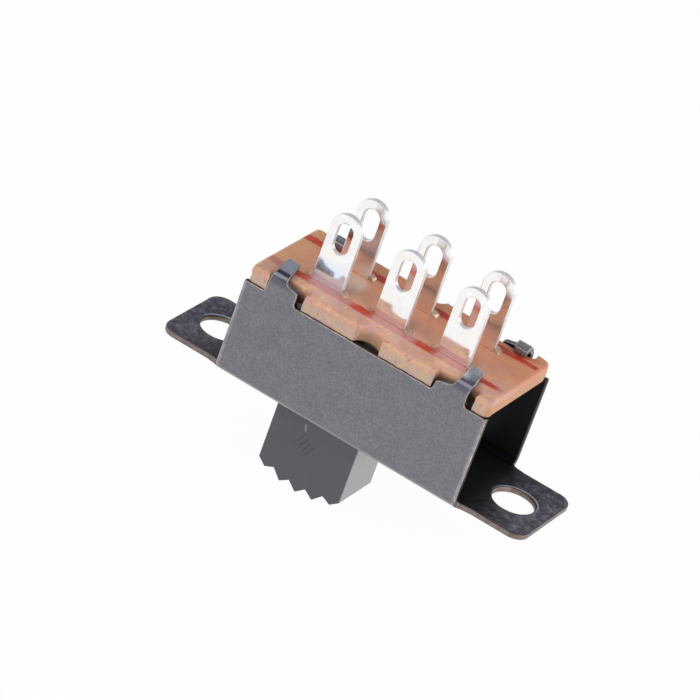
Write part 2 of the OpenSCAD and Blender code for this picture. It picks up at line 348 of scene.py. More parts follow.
    def finish(self, body: Body, nodes: Sequence[str], slot: str, smooth: float = 20.0) -> None:
        """Scales the piece to metres and ties it to the frame.

        Args:
            body: The CAD body it rides on.
            nodes: The CAD nodes it stands for.
            slot: The name of the record's material slot for the piece; not used.
            smooth: Edges below this angle in degrees are shaded smooth.
        """
        self.take()
        self.obj.scale = (MM, MM, MM)
        bpy.ops.object.transform_apply(location=True, rotation=True, scale=True)
        self.obj.vertex_groups.clear()
        bpy.ops.object.shade_smooth_by_angle(angle=math.radians(smooth))
        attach(self.obj, body.value)
        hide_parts(*nodes)
        LOG.info("%s: %d faces, for %s", self.obj.name, len(self.obj.data.polygons), ", ".join(nodes))


# --- Finishes ---------------------------------------------


@dataclass(frozen=True)
class Value:
    """A number that a node gives, with sums written as plain arithmetic."""

    graph: "Graph"
    socket: Socket

    def sum(self, operation: str, *others: Any) -> "Value":
        """Does a sum on this value and the others."""
        return self.graph.sum(operation, self, *others)

    def ramp(self, low: Any, high: float, start: float = 0.0, end: float = 1.0) -> "Value":
        """Maps a range of the value to another range, held at both ends."""
        inputs = {0: self, 1: low, 2: high, 3: start, 4: end}
        return Value(self.graph, self.graph.add("ShaderNodeMapRange", inputs, clamp=True).outputs[0])

    def under(self, limit: Any) -> "Value":
        """Gives 1 where the value is under a limit."""
        return self.sum("LESS_THAN", limit)

    def over(self, limit: Any) -> "Value":
        """Gives 1 where the value is over a limit."""
        return self.sum("GREATER_THAN", limit)

    def __add__(self, other: Any) -> "Value":
        """Adds another value."""
        return self.sum("ADD", other)

    def __sub__(self, other: Any) -> "Value":
        """Takes another value away."""
        return self.sum("SUBTRACT", other)

    def __rsub__(self, other: float) -> "Value":
        """Takes the value away from a number."""
        return self.graph.sum("SUBTRACT", other, self)

    def __mul__(self, other: Any) -> "Value":
        """Multiplies by another value."""
        return self.sum("MULTIPLY", other)

    def __truediv__(self, other: float) -> "Value":
        """Divides by a number."""
        return self.sum("DIVIDE", other)

    def __abs__(self) -> "Value":
        """Drops the sign."""
        return self.sum("ABSOLUTE")


def distance(x: Value, y: Value) -> Value:
    """Gives how far a place is from the middle of two axes."""
    return (x * x + y * y).sum("SQRT")


class Graph:
    """A node tree with short calls for adding nodes and joining sockets."""

    def __init__(self, tree: bpy.types.NodeTree) -> None:
        """Holds the tree that the calls add to."""
        self.tree = tree

    def add(self, kind: str, inputs: dict[Any, Any] | None = None, **settings: Any) -> Node:
        """Adds a node.

        Args:
            kind: The node's type.
            inputs: Values or sockets by input name or number.
            settings: The node's own settings.

        Returns:
            The new node.
        """
        node = self.tree.nodes.new(kind)
        for key, value in settings.items():
            setattr(node, key, value)
        self.feed(node, inputs or {})
        return node

    def feed(self, node: Node, inputs: dict[Any, Any]) -> None:
        """Sets a node's inputs by name or number, or joins sockets to them."""
        for key, value in inputs.items():
            value = value.socket if isinstance(value, Value) else value
            if isinstance(value, Socket):
                self.tree.links.new(value, node.inputs[key])
            elif node.inputs[key].type == "RGBA":
                node.inputs[key].default_value = (*value, 1.0)
            else:
                node.inputs[key].default_value = value

    def sum(self, operation: str, *values: Any) -> Value:
        """Does a sum on values."""
        return Value(self, self.add("ShaderNodeMath", dict(enumerate(values)), operation=operation).outputs[0])

    def mix(self, share: Any, first: Any, second: Any) -> Socket:
        """Mixes two colours."""
        return self.add("ShaderNodeMix", {0: share, 6: first, 7: second}, data_type="RGBA").outputs[2]

    def place(self, stretch: Triple = (1.0, 1.0, 1.0), shift: Triple = ORIGIN, turn: Any = ORIGIN) -> Socket:
        """Gives the place on the piece in millimetres, stretched, turned and shifted."""
        coords = self.add("ShaderNodeTexCoord")
        inputs = {0: coords.outputs["Object"], 1: shift, 2: turn, 3: tuple(s / MM for s in stretch)}
        return self.add("ShaderNodeMapping", inputs).outputs[0]

    def axes(self, place: Socket | None = None) -> list[Value]:
        """Gives a place axis by axis; the place on the piece in millimetres, if no other is given."""
        node = self.add("ShaderNodeSeparateXYZ", {0: place or self.place()})
        return [Value(self, axis) for axis in node.outputs]

    def noise(self, place: Socket, scale: Any, detail: float = 3.0, rough: float = 0.55) -> Value:
        """Gives soft noise at a place."""
        inputs = {"Vector": place, "Scale": scale, "Detail": detail, "Roughness": rough}
        return Value(self, self.add("ShaderNodeTexNoise", inputs).outputs[0])

    def group(self, tree: bpy.types.NodeTree, **inputs: float) -> list[Value]:
        """Places a node group with its own values, and gives what it puts out."""
        node = self.add("ShaderNodeGroup", node_tree=tree)
        self.feed(node, inputs)
        return [Value(self, output) for output in node.outputs]

    def share(self, follows: Sequence[Any], values: Named) -> Value:
        """Multiplies together all that a layer follows."""
        parts = [values[f] if isinstance(f, str) else values[f[0]].ramp(*f[1:]) for f in follows]
        return math.prod(parts[1:], start=parts[0])

    def coat(self, share: Value, pair: tuple[Colour, Colour], layers: Sequence[Layer], values: Named) -> Socket:
        """Lays layers of colour over a mix of two colours.

        Args:
            share: How much there is of the second colour.
            pair: The two colours.
            layers: Each layer's colour, and then what it follows: a value's name, or a name with the range that
                counts and the shares at the range's two ends.
            values: The values and colours that the layers name.

        Returns:
            The colour.
        """
        colour = self.mix(share, *pair)
        for over, *follows in layers:
            over = values[over] if isinstance(over, str) else over
            colour = self.mix(self.share(follows, values), colour, over)
        return colour


class Effects:
    """The effects that several finishes share, each a node group made once."""

    def __init__(self) -> None:
        """Makes every group."""
        self.grain = self.make_grain()
        self.specks = self.make_specks()
        self.scuffs = self.make_scuffs()

    @staticmethod
    def start(name: str, inputs: dict[str, float]) -> tuple[Graph, list[Value]]:
        """Starts a node group.

        Args:
            name: The group's name.
            inputs: Its inputs' names, with their defaults.

        Returns:
            The group's graph, and its inputs as values.
        """
        graph = Graph(bpy.data.node_groups.new(name, "ShaderNodeTree"))
        for key, value in inputs.items():
            socket = graph.tree.interface.new_socket(key, in_out="INPUT", socket_type="NodeSocketFloat")
            socket.default_value = value
        given = graph.add("NodeGroupInput")
        return graph, [Value(graph, given.outputs[key]) for key in inputs]

    @staticmethod
    def end(graph: Graph, outputs: dict[str, Value]) -> bpy.types.NodeTree:
        """Ends a node group with what it puts out."""
        for key in outputs:
            graph.tree.interface.new_socket(key, in_out="OUTPUT", socket_type="NodeSocketFloat")
        graph.add("NodeGroupOutput", outputs)
        return graph.tree

    def make_grain(self) -> bpy.types.NodeTree:
        """Fine grain over broad mottling, both as masks, and their sum as a height."""
        graph, (fine, broad, shift) = self.start("grain", {"Fine": 8.0, "Broad": 0.8, "Shift": 0.0})
        place = graph.add("ShaderNodeVectorMath", {0: graph.place(), 1: shift}, operation="ADD").outputs[0]
        grain = graph.noise(place, fine, 4.0, 0.6)
        mottle = graph.noise(place, broad, 3.0, 0.5)
        masks = {"Fine Mask": grain.ramp(0.3, 0.7), "Broad Mask": mottle.ramp(0.35, 0.65)}
        return self.end(graph, {**masks, "Height": mottle * 0.4 + grain})

    def make_specks(self) -> bpy.types.NodeTree:
        """Sparse small specks, as of dust or of bare metal."""
        graph, (scale, size, share) = self.start("specks", {"Scale": 6.0, "Size": 0.12, "Share": 0.3})
        cells = graph.add("ShaderNodeTexVoronoi", {"Vector": graph.place(), "Scale": scale})
        tone = graph.add("ShaderNodeSeparateColor", {0: cells.outputs["Color"]})
        dot = Value(graph, cells.outputs["Distance"]).under(size)
        return self.end(graph, {"Mask": dot * Value(graph, tone.outputs[0]).under(share)})

    def make_scuffs(self) -> bpy.types.NodeTree:
        """Short thin scuffs that run along one direction."""
        inputs = {"Along": 0.5, "Across": 9.0, "Lean": 0.5, "Edge": 0.7}
        graph, (along, across, lean, edge) = self.start("scuffs", inputs)
        turned = graph.place(turn=graph.add("ShaderNodeCombineXYZ", {1: lean}).outputs[0])
        stretch = graph.add("ShaderNodeCombineXYZ", {0: along, 1: across, 2: across}).outputs[0]
        drawn = graph.add("ShaderNodeVectorMath", {0: turned, 1: stretch}, operation="MULTIPLY").outputs[0]
        lines = graph.noise(drawn, 1.0, 1.0, 0.5).ramp(edge, 0.8)
        return self.end(graph, {"Mask": lines * graph.noise(turned, 0.35, 1.0, 0.5).ramp(0.5, 0.62)})


@dataclass(frozen=True)
class Finish:
    """What every finish has: its name, the colours it drifts between, and the layers over them.

    The share of metal is fixed, the roughness stays within the gloss's two limits, and the relief is the bump in
    millimetres deep.
    """

    name: str
    light: Colour
    dark: Colour
    metal: float
    gloss: Pair
    bump: float
    layers: tuple[Layer, ...] = field(default=(), kw_only=True)

    def make(self, effects: Effects) -> Material:
        """Makes the material from what the finish paints."""
        material = bpy.data.materials.new(self.name)
        material.use_nodes = True
        graph = Graph(material.node_tree)
        inputs = self.paint(graph, effects)
        relief = {"Strength": 1.0, "Distance": self.bump * MM, "Height": inputs.pop("Height")}
        normal = graph.add("ShaderNodeBump", relief).outputs[0]
        shader = material.node_tree.nodes["Principled BSDF"]
        graph.feed(shader, {"Metallic": self.metal, **inputs, "Normal": normal})
        return material

    def paint(self, graph: Graph, effects: Effects) -> Named:
        """Paints the surface.

        Args:
            graph: The material's graph.
            effects: The shared effects.

        Returns:
            The Principled shader's inputs, and the relief's height under "Height".
        """
        raise NotImplementedError

    def surface(self, tone: Value, gloss: Value, height: Value, values: Named) -> Named:
        """Gives the inputs of a plain surface.

        Args:
            tone: How much there is of the light colour.
            gloss: How far the roughness is from its lower limit to its upper one.
            height: The relief's height.
            values: What the layers name.

        Returns:
            The inputs, as paint gives them.
        """
        colour = tone.graph.coat(tone, (self.dark, self.light), self.layers, values)
        return {"Base Color": colour, "Roughness": gloss.ramp(0.0, 1.0, *self.gloss), "Height": height}


@dataclass(frozen=True)
class BlackenedSteel(Finish):
    """Sheet steel under a thin grey-black coating, bare where the tabs fold, with painted shade in the channel and on
    the far tabs, and painted highlights.
    """

    inner_y: float = 4.97
    outer_y: float = 5.25
    end_x: float = 11.5
    hole_x: float = 14.25
    ring_r: float = 2.0
    floor_z: float = 0.48
    ear_z: float = 0.18
    fold_z: float = 9.6
    fold_fade: float = 0.35
    flap_z: float = 10.3
    fine_share: float = 0.84
    fold_stray: float = 0.15
    root_stray: float = 2.4
    folded_gloss: float = 0.62
    # Painted shade on the far row's tabs, darker on the left tab than on the right
    far_shade_dark: Colour = (0.015, 0.02, 0.035)
    far_shade_blued: Colour = (0.065, 0.07, 0.09)
    layers: tuple[Layer, ...] = (
        # Specks and scuffs in the coating
        ((0.4, 0.4, 0.42), ("specks", 0, 1, 0, 0.6)),
        ((0.4, 0.4, 0.42), ("scuffs", 0, 1, 0, 0.35)),
        # Painted shade: the channel painted darker, darkest in its lower corners; the blued tabs above it, with painted
        # shade darkening the far row
        ((0.06, 0.056, 0.06), "channel"),
        ((0.015, 0.02, 0.035), "channel", ("z", 0.9, 1.2, 0.8, 0), ("wide", 4.2, 4.5)),
        ((0.115, 0.12, 0.155), ("folded", 0, 1, 0, 0.85)),
        ("far", "folded", ("y", -1, 1, 0, 0.9)),
        # The ears: clouded and darker towards the root, with a dark ring round the hole and a painted highlight on its
        # far rim
        ((0.12, 0.112, 0.165), "ear", ("cloud", 0.42, 0.5, 0.9, 0.2)),
        ((0.5, 0.47, 0.53), "ear", ("cloud", 0.5, 0.62, 0, 0.7)),
        ((0.06, 0.056, 0.06), "ear", ("outwards", 13.1, 17.3, 0.95, 0)),
        ((0.06, 0.056, 0.06), "ear", ("hole", 1.9, 1.95, 0.9, 0)),
        ((0.86, 0.92, 1.0), "ear", ("ring", 0.04, 0.11, 0.9, 0), ("y", -0.4, 1.2)),
        # A painted reflection along the bottom bends, a painted edge highlight at the ends of the walls, and the flaps
        # rubbed bare, with painted light that brightens the near row and the left tabs
        ((0.55, 0.52, 0.56), "off_ear", ("wide", 4.8, 5.0), ("z", 0.3, 0.55, 0.6, 0)),
        ((0.55, 0.52, 0.56), "wall", ("long", 11.2, 11.4), ("cloud", 0.4, 0.6, 0.2, 0.65)),
        (
            *((0.86, 0.92, 1.0), "flap", ("tone", 0, 1, 0.8, 1), ("wide", 4.8, 4.5)),
            *(("y", -1, 1, 1, 0.05), ("x", -4, 4, 1, 0.26)),
        ),
    )

    def paint(self, graph: Graph, effects: Effects) -> Named:
        """Paints the coating."""
        fine, broad, height = graph.group(effects.grain, Fine=6.5, Broad=0.7)
        (specks,) = graph.group(effects.specks, Scale=2.6, Size=0.09, Share=0.25)
        (scuffs,) = graph.group(effects.scuffs, Along=0.4, Across=7.0, Lean=0.6, Edge=0.66)
        cloud = graph.noise(graph.place(shift=(2.0, 5.0, 0.0)), 1.6, 6.0, 0.8)
        x, y, z = graph.axes()
        tone = fine * self.fine_share + broad * (1.0 - self.fine_share)
        level = broad * self.fold_stray + z
        unfolded, folded = z.under(self.fold_z), level.ramp(self.fold_z, self.fold_z + self.fold_fade)
        ear = unfolded * abs(x).over(self.end_x) * z.over(self.ear_z)
        hole = distance(abs(x) - self.hole_x, y)
        values = {
            **{"x": x, "y": y, "z": z, "long": abs(x), "wide": abs(y), "tone": tone, "cloud": cloud},
            **{"specks": specks, "scuffs": scuffs, "ear": ear, "off_ear": 1.0 - ear, "hole": hole, "folded": folded},
            # Where the channel is painted darker as shade
            "channel": abs(y).under(self.inner_y) * abs(x).under(self.end_x) * z.over(self.floor_z) * unfolded,
            "far": graph.mix(x.ramp(-1.0, 1.0), self.far_shade_dark, self.far_shade_blued),
            "outwards": cloud * self.root_stray + abs(x),
            # The ring of the painted highlight round each hole
            "ring": abs(hole - self.ring_r),
            "wall": abs(y).over(self.outer_y) * unfolded,
            "flap": level.over(self.flap_z),
        }
        inputs = self.surface(tone, tone, height, values)
        return {**inputs, "Roughness": inputs["Roughness"] * folded.ramp(0.0, 1.0, 1.0, self.folded_gloss)}


@dataclass(frozen=True)
class BareEdge(Finish):
    """The sheared or worn edge of a metal sheet, bright in places and brown with old oil in others."""

    stain: Colour = (0.30, 0.17, 0.09)
    coated_z: float = 0.0
    shut_z: float = -9.0
    hole_x: float = 14.25
    layers: tuple[Layer, ...] = (
        # Old oil, the coating that is left low down, and painted shade on the edges inside the channel, under the board
        ("stain", ("broad", 0, 1, 0, 0.5)),
        ((0.14, 0.135, 0.16), ("rise", 0, 0.2, 1, 0), ("hole", 2.15, 2.3, 0.45, 1)),
        ((0.035, 0.026, 0.02), "shut", ("wide", 5.2, 5.26, 0.92, 0)),
    )

    def paint(self, graph: Graph, effects: Effects) -> Named:
        """Paints the edge."""
        fine, broad, height = graph.group(effects.grain, Fine=6.0, Broad=1.1, Shift=3.7)
        x, y, z = graph.axes()
        values = {
            **{"broad": broad, "stain": self.stain, "rise": z - self.coated_z, "wide": abs(y)},
            "hole": distance(abs(x) - self.hole_x, y),
            # Painted shade on the edges inside the channel, under the board
            "shut": z.over(self.coated_z) * z.under(self.shut_z),
        }
        return self.surface(fine, fine, height, values)


@dataclass(frozen=True)
class CutRim(Finish):
    """The sheared side of the sheet: brown on the ears, nearly black on the walls, blued on the tabs."""

    layers: tuple[Layer, ...] = (
        ((0.05, 0.039, 0.033), ("z", 0.6, 1.3)),
        ((0.2, 0.22, 0.27), ("z", 9.6, 10.0)),
    )

    def paint(self, graph: Graph, effects: Effects) -> Named:
        """Paints the rim from the ears up to the tabs."""
        fine, broad, height = graph.group(effects.grain, Fine=7.0, Broad=1.4, Shift=1.9)
        return self.surface(broad, fine, height, {"z": graph.axes()[2]})


@dataclass(frozen=True)
class PaperLaminate(Finish):
    """Punched paper laminate: a resin face with two printed lines, and torn, paler edges."""

    face_z: float
    sheen: float = 0.32
    core: Colour = (0.52, 0.29, 0.165)
    core_pale: Colour = (0.69, 0.46, 0.33)
    ink: Colour = (0.7, 0.065, 0.022)
    ink_dark: Colour = (0.46, 0.034, 0.014)
    pitch: float = 6.05
    line_y: float = 2.97
    line_shift: float = 0.08
    line_end: tuple[float, ...] = (8.3, 11.5, 0.0, 0.26)
    stray: float = 0.34
    drift: float = 1.6
    speckled: float = 0.5
    edge_drop: Pair = (-0.8, -0.3)
    front_y: Pair = (-3.9, -1.5)
    wall_y: Pair = (-5.1, -4.9)
    side_y: float = 5.22
    notch_x: float = 8.1
    notch_half: float = 1.95
    # Two spots on the face: middle and half size, along and across the board
    flush: tuple[float, ...] = (9.3, 4.1, 2.2, 1.0)
    # The spot of painted light beside the first lugs
    veil: tuple[float, ...] = (-4.9, 0.3, 1.3, 1.6)
    face: tuple[Layer, ...] = (
        # The resin: pale fibres, painted light from the lugs paling it towards the near row, amber at the left end, and
        # the mottled front
        ((0.69, 0.46, 0.33), ("broad", 0, 1, 0, 0.15)),
        ((0.72, 0.45, 0.36), ("drift", -3.4, 2.6, 0.5, 0)),
        ((0.72, 0.38, 0.17), ("x", -9.3, -10.5, 0, 0.75)),
        ((0.58, 0.36, 0.37), "front", ("mottle", 0.5, 0.6, 0, 0.8)),
        ((0.78, 0.47, 0.27), "front", ("mottle", 0.38, 0.48, 0.8, 0)),
        ((0.4, 0.16, 0.06), "front", ("flecks", 0.6, 0.7, 0, 0.6)),
        # The printed lines, the flush in the far right corner, and a spot of painted light from the first lugs beside
        # them
        ("ink", ("line", 0.43, 0.54, 1, 0), ("x", 11.02, 11.14, 1, 0), ("thin", 0.3, 0.46, 0.55, 1)),
        ((0.5, 0.075, 0.015), ("flush", 0.35, 0.75, 0.75, 0)),
        ((0.72, 0.53, 0.42), ("veil", 0.45, 1.2, 0.75, 0)),
    )
    # Painted light from the lugs: the near line is paler in front of each lug
    printed: tuple[Layer, ...] = (((0.56, 0.29, 0.26), ("lugs", -0.85, -0.3), ("y", -1, 1, 0.75, 0)),)
    side: tuple[Layer, ...] = (
        # Blotches and flecks along the wall, the tan right end, and painted shade along the bottom and in the notches
        ((0.52, 0.385, 0.345), "by_wall", ("blotch", 0.36, 0.56, 0.7, 0.3)),
        ((0.66, 0.45, 0.25), "by_wall", ("blotch", 0.5, 0.62, 0, 0.75)),
        ((0.4, 0.16, 0.06), "by_wall", ("flecks", 0.57, 0.66, 0, 0.55)),
        ((0.61, 0.29, 0.14), ("x", 11.1, 11.3, 0, 0.85)),
        ((0.10, 0.035, 0.02), ("drop", -1.48, -1.36, 0.8, 0)),
        ((0.10, 0.035, 0.02), "notch", ("drop", -1.1, -0.15, 0.95, 0)),
    )

    def paint(self, graph: Graph, effects: Effects) -> Named:
        """Paints the face and the sides, and joins them along the ragged edge."""
        place = graph.place()
        x, y, z = graph.axes(place)
        (specks,) = graph.group(effects.specks, Scale=2.2, Size=0.13, Share=0.3)
        fibres = graph.noise(place, 1.1, 4.0, 0.6)
        layers = graph.noise(graph.place(stretch=(1.0, 1.0, 2.0), shift=(3.0, 1.0, 0.0)), 0.9, 4.0, 0.6)
        ragged = (graph.noise(place, 3.1, 4.0) - 0.5) * self.stray
        drop = z - self.face_z
        values = {
            **{"x": x, "y": y, "drop": drop, "drift": fibres * self.drift + y},
            "broad": graph.group(effects.grain, Fine=5.0, Broad=0.45)[1],
            "front": y.ramp(*self.front_y, 1.0, 0.25),
            "by_wall": y.ramp(*self.wall_y, 1.0, 0.0),
            "mottle": graph.noise(graph.place(shift=(4.0, 9.0, 0.0)), 1.25, 5.0, 0.62),
            "flecks": graph.noise(graph.place(shift=(1.0, 3.0, 6.0)), 3.4, 3.0, 0.7),
            "blotch": graph.noise(graph.place(shift=(7.0, 2.0, 1.0)), 1.5),
            "line": abs(abs(y - self.line_shift) - self.line_y) + ragged + x.ramp(*self.line_end),
            "thin": graph.noise(place, 1.7, 5.0, 0.7),
            "lugs": (x * (math.tau / self.pitch) - 0.7).sum("COSINE"),
            "flush": self.spot(x, y, *self.flush) + ragged * 1.5,
            "veil": self.spot(x, y, *self.veil) + ragged,
            "notch": abs(y).under(self.side_y) * abs(abs(x) - self.notch_x).under(self.notch_half),
        }
        tone = graph.noise(place, 0.9).ramp(0.35, 0.65)
        values["ink"] = graph.coat(tone, (self.ink_dark, self.ink), self.printed, values)
        face = graph.coat(fibres.ramp(0.3, 0.7), (self.dark, self.light), self.face, values)
        tone = (layers + y.ramp(*self.wall_y, 0.3, -0.12)).ramp(0.36, 0.76)
        side = graph.coat(tone, (self.core, self.core_pale), self.side, values)
        top = (drop + ragged * 1.2).ramp(*self.edge_drop)
        return {
            "Base Color": graph.mix(specks * self.speckled, graph.mix(top, side, face), self.core),
            "Specular IOR Level": self.sheen,
            "Roughness": (fibres - top * 0.2).ramp(0.2, 0.8, *self.gloss),
            "Height": layers * (1.0 - top) + fibres,
        }

    @staticmethod
    def spot(x: Value, y: Value, middle_x: float, middle_y: float, half_l: float, half_w: float) -> Value:
        """Gives how far out a place is in an oval spot: 1 is its edge."""
        return distance((x - middle_x) / half_l, (y - middle_y) / half_w)


@dataclass(frozen=True)
class BrightTin(Finish):
    """Tinned brass strip: nearly a mirror, with faint rolling lines, cloudy patches and pad edges painted dark as shade
    under the board.
    """

    pad_z: float = 8.6
    foot_z: float = 11.5
    foot_x: float = -4.4
    foot_metal: float = 0.22
    cloud_share: float = 0.6
    layers: tuple[Layer, ...] = (
        # Cream and mauve clouds, painted shade on the pad edges under the board, and the paler, less metallic foot of
        # the near row's first lug
        ((0.96, 0.9, 0.8), ("cast", 0.5, 0.68, 0, 0.6)),
        ((0.9, 0.85, 0.9), ("cast", 0.34, 0.48, 0.6, 0)),
        ((0.05, 0.036, 0.03), "pad", ("wide", 4.0, 4.1, 0, 0.93)),
        ((0.82, 0.9, 1.0), "foot"),
    )

    def paint(self, graph: Graph, effects: Effects) -> Named:
        """Paints the strip."""
        _, broad, height = graph.group(effects.grain, Fine=3.0, Broad=0.9, Shift=1.3)
        (scuffs,) = graph.group(effects.scuffs, Along=9.0, Across=0.5, Lean=0.05, Edge=0.62)
        x, y, z = graph.axes()
        tone = broad * self.cloud_share + scuffs * (1.0 - self.cloud_share)
        foot = z.ramp(self.foot_z, self.foot_z + 1.0, 1.0, 0.0) * x.under(self.foot_x) * y.under(0.0)
        cast = graph.noise(graph.place(shift=(8.0, 2.0, 4.0)), 0.75, 3.0, 0.6)
        # The pad edges under the board are painted dark as shade
        values = {"cast": cast, "wide": abs(y), "pad": z.under(self.pad_z), "foot": foot}
        colour = graph.coat(tone, (self.light, self.dark), self.layers, values)
        rough, metal = tone.ramp(0.0, 1.0, *self.gloss), self.metal - foot * self.foot_metal
        return {"Base Color": colour, "Metallic": metal, "Roughness": rough, "Height": height}


@dataclass(frozen=True)
class DarkMoulding(Finish):
    """Satin moulded plastic: a dark grey body under the smoother skin the mould leaves."""

    rub_place: Triple = (-3.43, -2.65, -2.0)
    rub_lean: float = 0.25
    scratch_place: Triple = (-2.87, -2.65, -3.44)
    scratch_lean: float = 1.05
    scratch_pitch: float = 0.42
    scratch_stray: float = 1.4
    knob_x: float = -2.5
    knob_z: Pair = (-2.7, 0.0)
    skin: float = 0.88
    skin_gloss: float = 0.25
    skin_ior: float = 1.72
    # How far the skin is thinned: at the carrier as painted shade by the face plate, and by wear in the scratches and
    # the mottling
    worn: Triple = (0.22, 0.5, 0.08)
    layers: tuple[Layer, ...] = (
        # Scuffs, the pale rub mark on the knob, and a painted sheen on the knob's end faces
        ((0.3, 0.3, 0.32), ("scuffs", 0, 1, 0, 0.3)),
        ((0.3, 0.3, 0.32), ("rub_x", 0.03, 0.1, 1, 0), ("rub_y", 0.05, 0.1, 1, 0), ("rub_z", 0.2, 0.4, 1, 0)),
        ((0.15, 0.143, 0.155), "knob", ("out", 3.88, 3.91)),
    )
    # The slanting strokes on the knob's near face that wear the skin through
    strokes: Layer = (("along", 0.4, 0.9, 1, 0), ("deep", 0.05, 0.2, 1, 0), ("aside", 0.5, 1, 1, 0), ("wave", 0.1, 0.9))

    def paint(self, graph: Graph, effects: Effects) -> Named:
        """Paints the moulding."""
        fine, broad, height = graph.group(effects.grain, Fine=11.0, Broad=0.5, Shift=5.1)
        (scuffs,) = graph.group(effects.scuffs, Along=1.2, Across=8.0, Lean=1.0, Edge=0.62)
        axes = graph.axes()
        x, y, z = (axis - middle for axis, middle in zip(axes, self.rub_place))
        values = {
            **{"scuffs": scuffs, "rub_x": abs(z * self.rub_lean + x), "rub_y": abs(y), "rub_z": abs(z)},
            # The knob's end faces, which get a painted sheen
            **{"knob": axes[2].under(0.0), "out": abs(axes[0] - self.knob_x)},
        }
        carrier, scratched, mottled = self.worn
        # Painted shade: the skin thins towards the top of the knob, by the face plate, which darkens it there
        worn = axes[2].ramp(*self.knob_z, 0.0, carrier) + self.scratches(graph, axes) * scratched + broad * mottled
        coat = {"Coat Weight": self.skin - worn, "Coat Roughness": self.skin_gloss, "Coat IOR": self.skin_ior}
        return {**self.surface(broad, fine, height, values), **coat}

    def scratches(self, graph: Graph, axes: Sequence[Value]) -> Value:
        """Gives where the strokes are."""
        x, y, z = (axis - middle for axis, middle in zip(axes, self.scratch_place))
        level, steep = math.cos(self.scratch_lean), math.sin(self.scratch_lean)
        stray = (graph.noise(graph.place(), 0.8, 2.0) - 0.5) * self.scratch_stray
        aside = x * steep - z * level
        wave = ((stray * 0.3 + aside) * (math.tau / self.scratch_pitch)).sum("SINE")
        along = abs(x * level + z * steep + stray)
        return graph.share(self.strokes, {"along": along, "deep": y, "aside": abs(aside), "wave": wave})


@dataclass(frozen=True)
class RolledMetal(Finish):
    """Rolled strip or drawn wire, with fine lines along its length."""

    mottle: float = 0.2

    def paint(self, graph: Graph, effects: Effects) -> Named:
        """Paints the strip."""
        broad = graph.group(effects.grain, Fine=7.0, Broad=1.0, Shift=2.2)[1]
        lines = graph.noise(graph.place(stretch=(0.3, 6.0, 6.0)), 3.0)
        tone = (lines + broad * self.mottle).ramp(0.35, 0.8)
        return self.surface(tone, tone, lines, {})


@dataclass
class Palette:
    """Every finish on the switch, made once: name, light, dark, metal, gloss and bump."""

    board_face_z: float
    effects: Effects = field(default_factory=Effects)

    def __post_init__(self) -> None:
        """Makes the materials."""
        made = [finish.make(self.effects) for finish in self.finishes()]
        self.steel, self.steel_edge, self.steel_rim, self.burr, self.laminate = made[:5]
        self.tin, self.tin_rim, self.moulding, self.bronze, self.wire = made[5:]

    def finishes(self) -> list[Finish]:
        """Lists the finishes."""
        low_edge = {"coated_z": 0.6, "shut_z": 9.6}
        oil = (0.3, 0.12, 0.06)
        grey, grey_dark = (0.27, 0.265, 0.29), (0.155, 0.152, 0.168)
        resin, resin_dark, board = (0.73, 0.29, 0.135), (0.64, 0.23, 0.1), self.board_face_z
        plastic, plastic_dark = (0.020, 0.019, 0.042), (0.015, 0.014, 0.034)
        return [
            BlackenedSteel("blackened_steel", grey, grey_dark, 0.9, (0.40, 0.5), 0.004),
            BareEdge("bare_steel_edge", (0.7, 0.66, 0.64), (0.33, 0.3, 0.29), 0.9, (0.3, 0.45), 0.01, **low_edge),
            CutRim("cut_steel_rim", (0.31, 0.24, 0.2), (0.2, 0.155, 0.135), 0.9, (0.4, 0.55), 0.02),
            BareEdge("staked_burr", (0.9, 0.74, 0.56), (0.5, 0.33, 0.22), 0.4, (0.3, 0.55), 0.04, stain=oil),
            PaperLaminate("paper_laminate", resin, resin_dark, 0.0, (0.3, 0.6), 0.02, face_z=board),
            BrightTin("bright_tin", (0.97, 0.97, 0.965), (0.88, 0.87, 0.86), 1.0, (0.08, 0.16), 0.0008),
            BrightTin("tinned_rim", (0.8, 0.78, 0.79), (0.68, 0.64, 0.65), 0.35, (0.35, 0.5), 0.003),
            DarkMoulding("dark_moulding", plastic, plastic_dark, 0.0, (0.34, 0.42), 0.003),
            RolledMetal("contact_bronze", (0.72, 0.50, 0.28), (0.52, 0.33, 0.17), 1.0, (0.2, 0.32), 0.002),
            RolledMetal("spring_wire", (0.66, 0.67, 0.70), (0.45, 0.46, 0.49), 1.0, (0.2, 0.3), 0.002),
        ]


# --- Sub-assemblies ---------------------------------------


